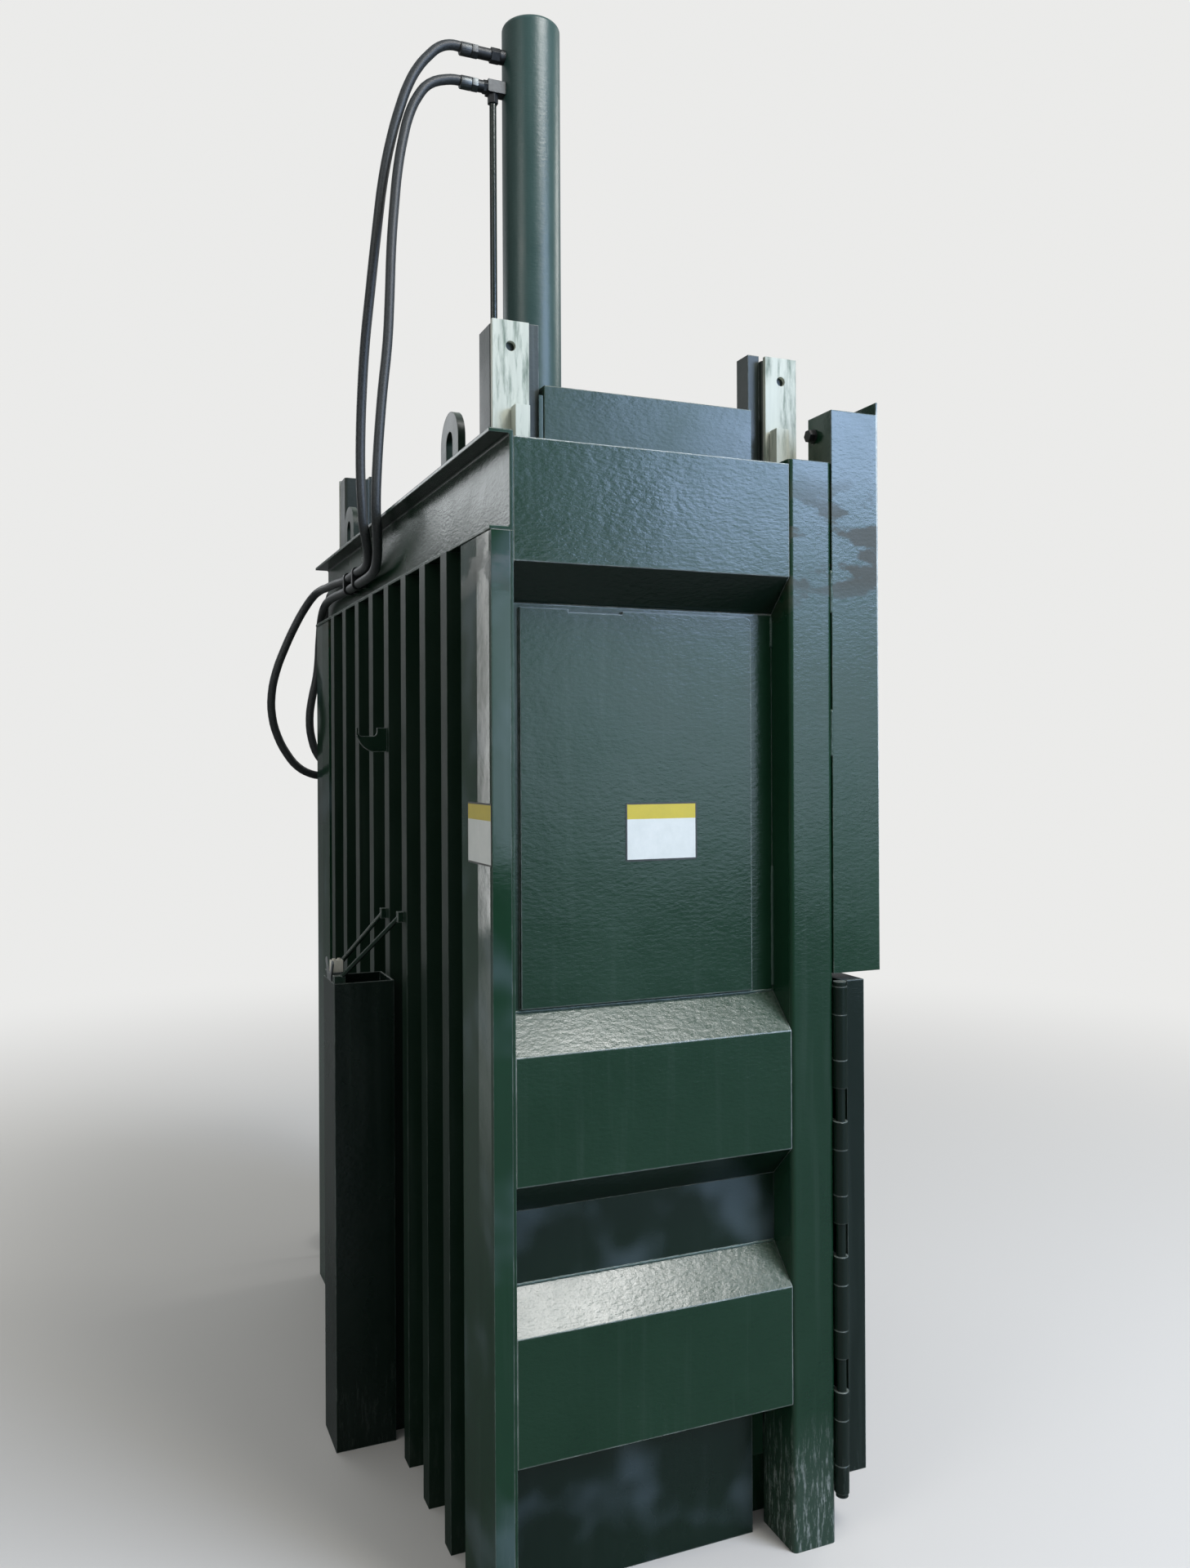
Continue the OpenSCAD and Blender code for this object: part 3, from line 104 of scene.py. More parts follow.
# each from its port on the barrel, past the edge of the lid, to its pipe end on the far side
hoses = {
    "pressureHose": {
        "node": "hose_a", "radius": 0.0125,
        "route": [(0, 134, 3446), (0, 146, 3446), (0, 178, 3450), (0, 206, 3449), (1, 234, 3437),
                  (2, 260, 3412), (4, 288, 3376), (7, 312, 3330), (12, 333, 3270), (19, 353, 3195),
                  (30, 372, 3094), (44, 386, 2967), (64, 401, 2800), (80, 410, 2686), (95, 415, 2565),
                  (102, 418, 2443), (102, 418, 2340), (103, 415, 2275), (109, 410, 2226),
                  (122, 400, 2188), (146, 390, 2160), (182, 383, 2144), (240, 378, 2138),
                  (320, 378, 2138), (490, 378, 2138), (600, 378, 2146), (700, 379, 2151),
                  (790, 380, 2154), (848, 386, 2154), (882, 400, 2142), (901, 424, 2106),
                  (908, 452, 2054), (913, 486, 1978), (917, 514, 1900), (921, 527, 1830),
                  (926, 525, 1762), (931, 508, 1700), (936, 478, 1643), (942, 444, 1603),
                  (952, 402, 1580), (960, 365, 1573), (965, 332, 1572), (966, 314, 1572),
                  (966, 302, 1572)],
    },
    "returnHose": {
        "node": "hose_b", "radius": 0.0125,
        "route": [(0, 134, 3360), (0, 146, 3360), (0, 180, 3363), (0, 216, 3358), (0, 261, 3337),
                  (0, 290, 3300), (0, 313, 3248), (-2, 328, 3190), (-5, 343, 3108), (-8, 353, 3019),
                  (-14, 363, 2905), (-22, 370, 2775), (-30, 378, 2656), (-38, 393, 2530),
                  (-46, 405, 2406), (-50, 411, 2320), (-50, 413, 2270), (-46, 412, 2226),
                  (-30, 406, 2186), (2, 398, 2152), (46, 390, 2126), (100, 383, 2112),
                  (170, 378, 2107), (240, 376, 2107), (320, 376, 2107), (490, 376, 2107),
                  (600, 376, 2111), (700, 375, 2114), (770, 375, 2113), (830, 375, 2106),
                  (872, 376, 2088), (899, 377, 2058), (911, 378, 2020), (914, 380, 1985),
                  (914, 382, 1945), (912, 389, 1885), (911, 404, 1815), (911, 411, 1755),
                  (914, 404, 1690), (920, 382, 1636), (927, 350, 1606), (930, 324, 1597),
                  (930, 312, 1597), (930, 302, 1597)],
    },
}

cordShape = {"ringSteps": 4, "stepsBetweenPoints": 3}


def curveThrough(name, points, radius):
    # one open spline with a point at each place of the route
    bpy.ops.curve.primitive_nurbs_path_add(location=(0, 0, 0))
    curve = bpy.context.object
    curve.name = name
    curve.data.splines.clear()
    spline = curve.data.splines.new("BEZIER")
    spline.bezier_points.add(len(points) - 1)
    for knot, point in zip(spline.bezier_points, points):
        knot.co = point
        knot.handle_left_type = knot.handle_right_type = "AUTO"
    curve.data.dimensions = "3D"
    curve.data.bevel_depth = radius
    curve.data.bevel_resolution = cordShape["ringSteps"]
    curve.data.resolution_u = cordShape["stepsBetweenPoints"]
    curve.data.use_fill_caps = True
    return curve


cable = curveThrough("supplyCable", cableRoute, supplyCable["diameter"] / 2)
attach(cable, "frame")
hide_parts("supply_cable", "supply_coil")
for hoseName, hose in hoses.items():
    tube = curveThrough(hoseName, [Vector(p) / 1000 for p in hose["route"]], hose["radius"])
    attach(tube, "frame")
    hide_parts(hose["node"])
    hose["tube"] = tube


# materials

def toLinear(hexColour):
    values = [int(hexColour[i:i + 2], 16) / 255 for i in (1, 3, 5)]
    return [v / 12.92 if v <= 0.04045 else ((v + 0.055) / 1.055) ** 2.4 for v in values] + [1]


def addNode(tree, kind, inputs=None, links=None, **settings):
    # in a colour mix, socket 0 is the factor, and 6 and 7 are the two colours
    node = tree.nodes.new(kind)
    for name, value in settings.items():
        setattr(node, name, value)
    for name, value in (inputs or {}).items():
        node.inputs[name].default_value = value
    for name, source in (links or {}).items():
        tree.links.new(source, node.inputs[name])
    return node


def newMaterial(name):
    material = bpy.data.materials.new(name)
    material.use_nodes = True
    material.node_tree.nodes.clear()
    return material, material.node_tree


def machineEnamel(name, finish):
    # alkyd machine enamel, sprayed over hot rolled plate: glossy, a little orange-peeled,
    # dusty on what faces up, with rubbed paler edges and bare scuffs near the floor
    material, tree = newMaterial(name)
    place = addNode(tree, "ShaderNodeTexCoord").outputs["Object"]
    spot = addNode(tree, "ShaderNodeSeparateXYZ", links={0: place})
    height = spot.outputs["Z"]
    geometry = addNode(tree, "ShaderNodeNewGeometry")
    facing = addNode(tree, "ShaderNodeSeparateXYZ", links={0: geometry.outputs["Normal"]})
    up = facing.outputs["Z"]

    # broad tone of the coat, patches of about 300 mm
    patches = addNode(tree, "ShaderNodeTexNoise", {"Scale": 3.2, "Detail": 4.0, "Roughness": 0.6},
                      {"Vector": place})
    coat = addNode(tree, "ShaderNodeMix",
                   {6: toLinear(finish["deep"]), 7: toLinear(finish["pale"])},
                   {0: patches.outputs["Fac"]}, data_type="RGBA")

    # drips and wipe marks, 25 mm wide and drawn out downwards
    stretched = addNode(tree, "ShaderNodeMapping", {"Scale": (38, 38, 1.6)}, {"Vector": place})
    streaks = addNode(tree, "ShaderNodeTexNoise", {"Scale": 1.0, "Detail": 3.0, "Roughness": 0.55},
                      {"Vector": stretched.outputs[0]})
    streakAmount = addNode(tree, "ShaderNodeMapRange",
                           {"From Min": 0.56, "From Max": 0.78, "To Max": finish["streaks"]},
                           {"Value": streaks.outputs["Fac"]})
    streaked = addNode(tree, "ShaderNodeMix", {7: toLinear(finish["streakColour"])},
                       {0: streakAmount.outputs[0], 6: coat.outputs[2]}, data_type="RGBA")

    # dust lies on ledges in specks of 3 to 10 mm
    facesUp = addNode(tree, "ShaderNodeMapRange",
                      {"From Min": 0.62, "From Max": 0.95, "To Max": finish["dust"]},
                      {"Value": up})
    specks = addNode(tree, "ShaderNodeTexNoise", {"Scale": 95.0, "Detail": 6.0, "Roughness": 0.75},
                     {"Vector": place})
    speckAmount = addNode(tree, "ShaderNodeMapRange",
                          {"From Min": 0.38, "From Max": 0.58, "To Min": 0.25},
                          {"Value": specks.outputs["Fac"]})
    dust = addNode(tree, "ShaderNodeMath", links={0: facesUp.outputs[0], 1: speckAmount.outputs[0]},
                   operation="MULTIPLY")
    dusty = addNode(tree, "ShaderNodeMix", {7: toLinear(finish["dustColour"])},
                    {0: dust.outputs[0], 6: streaked.outputs[2]}, data_type="RGBA")

    # painted shade: a dark colour mixed onto what faces down, standing in for the shade under ledges and
    # beams
    shadeBelowAmount = addNode(tree, "ShaderNodeMapRange",
                        {"From Min": -0.15, "From Max": -0.6, "To Max": finish["under"]},
                        {"Value": up})
    shadedBelow = addNode(tree, "ShaderNodeMix", {7: toLinear(finish["shadeBelowColour"])},
                      {0: shadeBelowAmount.outputs[0], 6: dusty.outputs[2]}, data_type="RGBA")

    # edges rubbed to primer over 2 to 4 mm, in broken lengths
    rounded = addNode(tree, "ShaderNodeBevel", {"Radius": finish["edge"]}, samples=4)
    across = addNode(tree, "ShaderNodeVectorMath",
                     links={0: rounded.outputs[0], 1: geometry.outputs["Normal"]},
                     operation="DOT_PRODUCT")
    rubbing = addNode(tree, "ShaderNodeTexNoise", {"Scale": 14.0, "Detail": 5.0, "Roughness": 0.7},
                      {"Vector": place})
    edgeness = addNode(tree, "ShaderNodeMapRange", {"From Min": 0.985, "From Max": 0.86},
                       {"Value": across.outputs["Value"]})
    rubbed = addNode(tree, "ShaderNodeMapRange",
                     {"From Min": 0.47, "From Max": 0.62,
                      "To Min": finish["edgeLeast"], "To Max": finish["wear"]},
                     {"Value": rubbing.outputs["Fac"]})
    edgeWear = addNode(tree, "ShaderNodeMath", links={0: edgeness.outputs[0], 1: rubbed.outputs[0]},
                       operation="MULTIPLY")
    worn = addNode(tree, "ShaderNodeMix", {7: toLinear(finish["bare"])},
                   {0: edgeWear.outputs[0], 6: shadedBelow.outputs[2]}, data_type="RGBA")

    # upright scratches where loads scrape past, low on the machine
    low = addNode(tree, "ShaderNodeMapRange",
                  {"From Min": finish["scuffNone"], "From Max": finish["scuffFull"],
                   "To Max": finish["scuffs"]},
                  {"Value": height})
    scratched = addNode(tree, "ShaderNodeMapping", {"Scale": (90, 90, 14)}, {"Vector": place})
    scratches = addNode(tree, "ShaderNodeTexNoise", {"Scale": 1.0, "Detail": 8.0, "Roughness": 0.8},
                        {"Vector": scratched.outputs[0]})
    scratchAmount = addNode(tree, "ShaderNodeMapRange",
                            {"From Min": 0.52, "From Max": 0.6, "To Min": 0.1},
                            {"Value": scratches.outputs["Fac"]})
    scuff = addNode(tree, "ShaderNodeMath", links={0: low.outputs[0], 1: scratchAmount.outputs[0]},
                    operation="MULTIPLY")
    scuffed = addNode(tree, "ShaderNodeMix", {7: toLinear(finish["scuffColour"])},
                      {0: scuff.outputs[0], 6: worn.outputs[2]}, data_type="RGBA")

    # brown grease smears across the top of the uprights, at 1.9 to 2.2 m
    aboveBand = addNode(tree, "ShaderNodeMath", {1: finish["smearHeight"]}, {0: height},
                        operation="SUBTRACT")
    offBand = addNode(tree, "ShaderNodeMath", links={0: aboveBand.outputs[0]}, operation="ABSOLUTE")
    band = addNode(tree, "ShaderNodeMapRange",
                   {"From Min": 0.16, "From Max": 0.06, "To Max": finish["smears"]},
                   {"Value": offBand.outputs[0]})
    wiped = addNode(tree, "ShaderNodeMapping", {"Scale": (7, 7, 16), "Location": (3.1, 0.4, 0.0)},
                    {"Vector": place})
    grease = addNode(tree, "ShaderNodeTexNoise", {"Scale": 1.0, "Detail": 4.0, "Roughness": 0.6},
                     {"Vector": wiped.outputs[0]})
    greaseAmount = addNode(tree, "ShaderNodeMapRange", {"From Min": 0.5, "From Max": 0.56},
                           {"Value": grease.outputs["Fac"]})
    smear = addNode(tree, "ShaderNodeMath", links={0: band.outputs[0], 1: greaseAmount.outputs[0]},
                    operation="MULTIPLY")
    smeared = addNode(tree, "ShaderNodeMix", {7: toLinear(finish["smearColour"])},
                      {0: smear.outputs[0], 6: scuffed.outputs[2]}, data_type="RGBA")

    # painted shade darkening the lower plates, and painted patches of pale blue reflection on them in
    # clouds of 200 mm
    clouds = addNode(tree, "ShaderNodeTexNoise", {"Scale": 5.0, "Detail": 2.0, "Roughness": 0.5},
                     {"Vector": place})
    paintedSheenAmount = addNode(tree, "ShaderNodeMapRange",
                         {"From Min": 0.48, "From Max": 0.72, "To Max": finish["paintedSheen"]},
                         {"Value": clouds.outputs["Fac"]}, interpolation_type="SMOOTHSTEP")
    lower = addNode(tree, "ShaderNodeMapRange",
                    {"From Min": finish["shadeAndSheenTop"], "From Max": finish["shadeAndSheenTop"] - finish["shadeAndSheenFade"]},
                    {"Value": height})
    paintedSheenLow = addNode(tree, "ShaderNodeMath", links={0: paintedSheenAmount.outputs[0], 1: lower.outputs[0]},
                      operation="MULTIPLY")
    # painted shade: the lower plates darkened evenly below the given height
    lowShadeAmount = addNode(tree, "ShaderNodeMath", {1: finish["lowShade"]}, {0: lower.outputs[0]},
                         operation="MULTIPLY")
    lowShaded = addNode(tree, "ShaderNodeMix", {7: toLinear(finish["lowShadeColour"])},
                    {0: lowShadeAmount.outputs[0], 6: smeared.outputs[2]}, data_type="RGBA")
    withPaintedSheen = addNode(tree, "ShaderNodeMix", {7: toLinear(finish["paintedSheenColour"])},
                    {0: paintedSheenLow.outputs[0], 6: lowShaded.outputs[2]}, data_type="RGBA")

    # gloss breaks up over the patches and dies under dust
    gloss = addNode(tree, "ShaderNodeMapRange",
                    {"From Min": 0.3, "From Max": 0.7,
                     "To Min": finish["roughLow"], "To Max": finish["roughHigh"]},
                    {"Value": patches.outputs["Fac"]})
    dulled = addNode(tree, "ShaderNodeMath", {1: finish["dustRough"]},
                     {0: dust.outputs[0], 2: gloss.outputs[0]}, operation="MULTIPLY_ADD")
    roughness = addNode(tree, "ShaderNodeMath", {1: finish["smearRough"]},
                        {0: smear.outputs[0], 2: dulled.outputs[0]}, operation="MULTIPLY_ADD")

    # orange peel, drawn at 7 to 14 mm so that it shows, and the plate's own waves, 110 mm long
    drawn = addNode(tree, "ShaderNodeMapping", {"Scale": (70, 70, 150)}, {"Vector": place})
    peel = addNode(tree, "ShaderNodeTexNoise", {"Scale": 1.0, "Detail": 3.0, "Roughness": 0.6},
                   {"Vector": drawn.outputs[0]})
    wave = addNode(tree, "ShaderNodeTexNoise", {"Scale": 9.0, "Detail": 2.0, "Roughness": 0.5},
                   {"Vector": place})
    waveBump = addNode(tree, "ShaderNodeBump", {"Strength": 0.35, "Distance": finish["wave"]},
                       {"Height": wave.outputs["Fac"], "Normal": rounded.outputs[0]})
    peelBump = addNode(tree, "ShaderNodeBump", {"Strength": 0.35, "Distance": finish["peel"]},
                       {"Height": peel.outputs["Fac"], "Normal": waveBump.outputs[0]})

    # folded channels fall back a little over the outer 76 mm of their web
    aside = addNode(tree, "ShaderNodeMath", links={0: spot.outputs["X"]}, operation="ABSOLUTE")
    fall = addNode(tree, "ShaderNodeMapRange",
                   {"From Min": finish["lipFrom"], "From Max": finish["lipTo"],
                    "To Min": 1.0, "To Max": 0.0},
                   {"Value": aside.outputs[0]})
    bump = addNode(tree, "ShaderNodeBump", {"Strength": 1.0, "Distance": finish["lip"]},
                   {"Height": fall.outputs[0], "Normal": peelBump.outputs[0]})
    shader = addNode(tree, "ShaderNodeBsdfPrincipled", {"IOR": 1.5, "Metallic": 0.0},
                     {"Base Color": withPaintedSheen.outputs[2], "Roughness": roughness.outputs[0],
                      "Normal": bump.outputs[0]})
    addNode(tree, "ShaderNodeOutputMaterial", links={"Surface": shader.outputs[0]})
    return material


def rubbedSteel(name, finish):
    # bare, plated or thinly coated steel: a grain drawn out along the wear, stained in patches
    material, tree = newMaterial(name)
    place = addNode(tree, "ShaderNodeTexCoord").outputs["Object"]
    drawn = addNode(tree, "ShaderNodeMapping", {"Scale": finish["grain"]}, {"Vector": place})
    grain = addNode(tree, "ShaderNodeTexNoise", {"Scale": 1.0, "Detail": 6.0, "Roughness": 0.7},
                    {"Vector": drawn.outputs[0]})
    spread = addNode(tree, "ShaderNodeMapping", {"Scale": finish["spread"]}, {"Vector": place})
    stains = addNode(tree, "ShaderNodeTexNoise", {"Scale": 6.0, "Detail": 5.0, "Roughness": 0.65},
                     {"Vector": spread.outputs[0]})
    metal = addNode(tree, "ShaderNodeMix",
                    {6: toLinear(finish["deep"]), 7: toLinear(finish["pale"])},
                    {0: grain.outputs["Fac"]}, data_type="RGBA")
    stainAmount = addNode(tree, "ShaderNodeMapRange",
                          {"From Min": 0.5, "From Max": 0.68, "To Max": finish["stains"]},
                          {"Value": stains.outputs["Fac"]})
    colour = addNode(tree, "ShaderNodeMix", {7: toLinear(finish["stain"])},
                     {0: stainAmount.outputs[0], 6: metal.outputs[2]}, data_type="RGBA")
    roughness = addNode(tree, "ShaderNodeMapRange",
                        {"From Min": 0.3, "From Max": 0.7, "To Min": finish["rough"],
                         "To Max": finish["rough"] + finish["roughSpread"]},
                        {"Value": stains.outputs["Fac"]})
    rounded = addNode(tree, "ShaderNodeBevel", {"Radius": finish["edge"]}, samples=4)
    bump = addNode(tree, "ShaderNodeBump", {"Strength": 0.3, "Distance": finish["bump"]},
                   {"Height": grain.outputs["Fac"], "Normal": rounded.outputs[0]})
    shader = addNode(tree, "ShaderNodeBsdfPrincipled", {"Metallic": finish["metal"]},
                     {"Base Color": colour.outputs[2], "Roughness": roughness.outputs[0],
                      "Normal": bump.outputs[0]})
    addNode(tree, "ShaderNodeOutputMaterial", links={"Surface": shader.outputs[0]})
    return material


def plainFinish(name, finish):
    # moulded, turned or sprayed pieces: one colour with a fine mottle and soft edges
    material, tree = newMaterial(name)
    place = addNode(tree, "ShaderNodeTexCoord").outputs["Object"]
    mottle = addNode(tree, "ShaderNodeTexNoise",
                     {"Scale": finish["scale"], "Detail": 5.0, "Roughness": 0.65},
                     {"Vector": place})
    spread = addNode(tree, "ShaderNodeMapRange", {"From Min": 0.35, "From Max": 0.65},
                     {"Value": mottle.outputs["Fac"]})
    colour = addNode(tree, "ShaderNodeMix",
                     {6: toLinear(finish["deep"]), 7: toLinear(finish["pale"])},
                     {0: spread.outputs[0]}, data_type="RGBA")
    roughness = addNode(tree, "ShaderNodeMapRange",
                        {"From Min": 0.35, "From Max": 0.65, "To Min": finish["rough"],
                         "To Max": finish["rough"] + finish["roughSpread"]},
                        {"Value": mottle.outputs["Fac"]})
    rounded = addNode(tree, "ShaderNodeBevel", {"Radius": finish["edge"]}, samples=4)
    bump = addNode(tree, "ShaderNodeBump", {"Strength": 0.25, "Distance": finish["bump"]},
                   {"Height": mottle.outputs["Fac"], "Normal": rounded.outputs[0]})
    shader = addNode(tree, "ShaderNodeBsdfPrincipled", {"Coat Weight": finish["coat"]},
                     {"Base Color": colour.outputs[2], "Roughness": roughness.outputs[0],
                      "Normal": bump.outputs[0]})
    addNode(tree, "ShaderNodeOutputMaterial", links={"Surface": shader.outputs[0]})
    return material


# amounts run from 0 to 1, sizes and heights are in metres
enamel = {
    "deep": "#0d2819", "pale": "#173825",
    "streaks": 0.07, "streakColour": "#5d6b66",
    "dust": 0.6, "dustColour": "#8d948c", "dustRough": 0.2,
    # faces that point down get painted shade, set on the next line
    "under": 0.8, "shadeBelowColour": "#050b08",
    "edge": 0.003, "edgeLeast": 0.2, "wear": 0.75, "bare": "#87918c",
    "scuffs": 0.06, "scuffColour": "#8c938f", "scuffNone": 0.28, "scuffFull": 0.12,
    "smears": 0.0, "smearColour": "#39362a", "smearHeight": 2.05, "smearRough": 0.35,
    # pale blue patches of painted reflection, and painted shade low down, are set on these two lines
    "paintedSheen": 0.0, "paintedSheenColour": "#6b7b84", "shadeAndSheenTop": 1.0, "shadeAndSheenFade": 0.15,
    "lowShade": 0.0, "lowShadeColour": "#050b0a",
    "roughLow": 0.17, "roughHigh": 0.3, "wave": 0.003, "peel": 0.0014,
    "lip": 0.0, "lipFrom": 0.8, "lipTo": 0.876,
}
steel = {
    "stains": 0.0, "stain": "#3b2c22", "spread": (1.0, 1.0, 1.0), "grain": (90, 90, 90),
    "rough": 0.3, "roughSpread": 0.2, "metal": 1.0, "edge": 0.0015, "bump": 0.0006,
}
plain = {
    "rough": 0.4, "roughSpread": 0.12, "scale": 60.0, "edge": 0.001, "bump": 0.0003, "coat": 0.0,
}
finishes = {
    # alkyd enamel, sprayed on folded and welded plate
    "frameEnamel": machineEnamel("frameEnamel", enamel),
    # the same, scraped at the foot and smeared with grease at the top
    "postEnamel": machineEnamel("postEnamel", dict(enamel, scuffs=0.75, smears=0.6)),
    "guideEnamel": machineEnamel("guideEnamel", dict(enamel, smears=0.75)),
    # smooth and glossy on the folded corner channels, close to a mirror, with painted patches of pale
    # blue reflection below 2.4 m
    "cornerEnamel": machineEnamel("cornerEnamel", dict(
        enamel, roughLow=0.08, roughHigh=0.12, wave=0.0012, peel=0.0002, smears=0.45,
        paintedSheen=0.3, shadeAndSheenTop=2.4, edgeLeast=0.35, lip=0.0028)),
    # recessed side plates: painted shade darkens them below 1 m, painted patches of pale blue reflection
    # lie on them, and their edges are rubbed pale
    "skinEnamel": machineEnamel("skinEnamel", dict(
        enamel, wear=1.0, edgeLeast=0.6, edge=0.004, paintedSheen=0.28, lowShade=0.6, scuffs=0.02,
        bare="#b4bdb9")),
    # side beams, knocked along their edges down to the pale primer
    "beamEnamel": machineEnamel("beamEnamel", dict(
        enamel, wear=1.0, edgeLeast=0.55, edge=0.004, scuffs=0.02, bare="#c3cac6", peel=0.002)),
    # thinner, even coat on flat sheet
    "panelEnamel": machineEnamel("panelEnamel", dict(enamel, wear=0.6, scuffs=0.03)),
    # greyer green of the bought cylinder, dulled by oil and dust
    "cylinderEnamel": machineEnamel("cylinderEnamel", dict(
        enamel, deep="#233b37", pale="#2f4a46", roughLow=0.3, roughHigh=0.42, wear=0.3, dust=0.4,
        streaks=0.16)),
    # paint pulled thin over the weld beads
    "weldEnamel": machineEnamel("weldEnamel", dict(
        enamel, deep="#22392f", pale="#40564c", wear=0.5, scuffs=0.0)),
    # oiled hinges, pins and fittings: darker, rubbed bright on their edges; on the door frame the dark
    # colour is painted shade
    "darkAndShadedEnamel": machineEnamel("darkAndShadedEnamel", dict(
        enamel, deep="#091610", pale="#101f18", wear=0.9, edgeLeast=0.4)),
    # platen sides, dulled by rubbing
    "platenEnamel": machineEnamel("platenEnamel", dict(
        enamel, wear=0.6, scuffs=0.03, roughLow=0.24, roughHigh=0.38)),
    # folded tie channels, darker and half matt
    "channelEnamel": machineEnamel("channelEnamel", dict(
        enamel, deep="#0a1e13", pale="#112a1c", wear=0.6, edge=0.002, roughLow=0.32,
        roughHigh=0.48)),
    # hook plates worn pale by the tie wire
    "hookEnamel": machineEnamel("hookEnamel", dict(
        enamel, deep="#0a1e13", pale="#112a1c", wear=1.0, edge=0.003, edgeLeast=0.6,
        bare="#aab2ae")),
    # guide legs of the platen, streaked and dulled by sliding
    "legEnamel": machineEnamel("legEnamel", dict(
        enamel, deep="#0e1a15", pale="#27342e", streaks=0.35, roughLow=0.35, roughHigh=0.5)),
    # mild steel polished by the load that slides on it: brown grey, long scratches
    "loadSteel": rubbedSteel("loadSteel", dict(
        steel, deep="#55534e", pale="#85827b", stains=0.5, grain=(14, 14, 120), rough=0.35,
        metal=0.9)),
    # hard chrome, ground and polished: almost a mirror
    "hardChrome": rubbedSteel("hardChrome", dict(
        steel, deep="#c9ccce", pale="#dfe2e4", grain=(60, 60, 60), rough=0.08)),
    # bright zinc plate: pale grey, soft gloss
    "zincSteel": rubbedSteel("zincSteel", dict(
        steel, deep="#8e9193", pale="#b4b7b8", stains=0.1)),
    # zinc plate dulled by oil and dust
    "dullZinc": rubbedSteel("dullZinc", dict(
        steel, deep="#505455", pale="#787c7c", stains=0.4, rough=0.42)),
    # black oxide on turned and cast steel: dark, half glossy
    "blackSteel": rubbedSteel("blackSteel", dict(
        steel, deep="#2b2c2c", pale="#4b4d4e", stains=0.15, rough=0.35, metal=0.9)),
    # pale primer on the wear strips, streaked with green where the enamel holds on
    "stripCoat": rubbedSteel("stripCoat", dict(
        steel, deep="#9fa597", pale="#cdd0c3", stains=0.9, stain="#56685a", spread=(8.0, 8.0, 1.2),
        grain=(70, 70, 2), rough=0.45, metal=0.0)),
    # machined nylon: off-white, waxy
    "slideNylon": plainFinish("slideNylon", dict(
        plain, deep="#c3c0b2", pale="#dcdacd", rough=0.42, scale=30.0, edge=0.0015)),
    # wrapped hose cover and extruded cable sheath: black rubber, half matt
    # its fine cloth marks are drawn at 4 mm so that they show
    "hoseRubber": plainFinish("hoseRubber", dict(
        plain, deep="#1b1e1f", pale="#34393a", rough=0.42, scale=260.0, bump=0.0004)),
    "cableRubber": plainFinish("cableRubber", dict(
        plain, deep="#17191a", pale="#232627", rough=0.45, scale=260.0)),
    # blue grey enamel on the cast motor
    "motorEnamel": plainFinish("motorEnamel", dict(
        plain, deep="#33434b", pale="#435560", rough=0.35)),
    # pale primer where the gate rubs along its guides
    "rubbedPrimer": plainFinish("rubbedPrimer", dict(plain, deep="#8d9390", pale="#b9bfbb")),
    # powder coat on the box: even light grey, its fine texture drawn at 3 mm so that it shows
    "boxCoat": plainFinish("boxCoat", dict(
        plain, deep="#8d9193", pale="#9ba0a1", rough=0.45, scale=300.0, edge=0.003)),
    # moulded ABS button caps: glossy and even
    "greenCap": plainFinish("greenCap", dict(
        plain, deep="#17703a", pale="#1d8646", rough=0.25, coat=0.3)),
    "blackCap": plainFinish("blackCap", dict(
        plain, deep="#161718", pale="#222325", rough=0.3, coat=0.3)),
    "redCap": plainFinish("redCap", dict(
        plain, deep="#a81c18", pale="#c02722", rough=0.25, coat=0.3)),
}
nodeFinish = {
    "frameEnamel": ["base_frame", "rear_top_channel", "front_frame", "cross_beams", "cylinder_mount",
                    "tank_shelf", "gate_frame", "platen_frame", "latch_lugs"],
    "postEnamel": ["front_posts"],
    "guideEnamel": ["gate_guides"],
    "cornerEnamel": ["corner_channels"],
    "skinEnamel": ["side_skins"],
    "beamEnamel": ["side_beams", "top_side_beams"],
    # on the door frame this dark enamel is painted shade
    "darkAndShadedEnamel": ["post_knuckles", "door_frame", "door_fittings", "pins", "tie_box", "return_pipe"],
    "channelEnamel": ["tie_channels", "lifting_eyes"],
    "hookEnamel": ["tie_hooks"],
    "panelEnamel": ["rear_wall", "oil_tank", "door_skin", "gate_sheet"],
    "platenEnamel": ["platen_sides"],
    "legEnamel": ["guide_legs"],
    "cylinderEnamel": ["barrel"],
    "loadSteel": ["bale_floor", "side_liners", "platen_plate", "door_bars"],
    "hardChrome": ["piston_rod"],
    "zincSteel": ["block_bracket", "latch_screw", "thrust_washer", "supply_end"],
    "blackSteel": ["gate_stop_bolts", "rod_gland", "ports", "line_clamps", "valve_block",
                   "handwheel"],
    "stripCoat": ["wear_strips", "leg_keepers"],
    "slideNylon": ["clamp_block", "gate_shoes"],
    "hoseRubber": ["hose_a", "hose_b"],
    "cableRubber": ["supply_cable", "supply_coil", "supply_gland"],
    "motorEnamel": ["pump_motor"],
    "boxCoat": ["control_box"],
    "greenCap": ["start_button"],
    "blackCap": ["raise_button"],
    "redCap": ["stop_button"],
}
for finishName, members in nodeFinish.items():
    for member in members:
        nodes[member].data.materials.clear()
        nodes[member].data.materials.append(finishes[finishName])

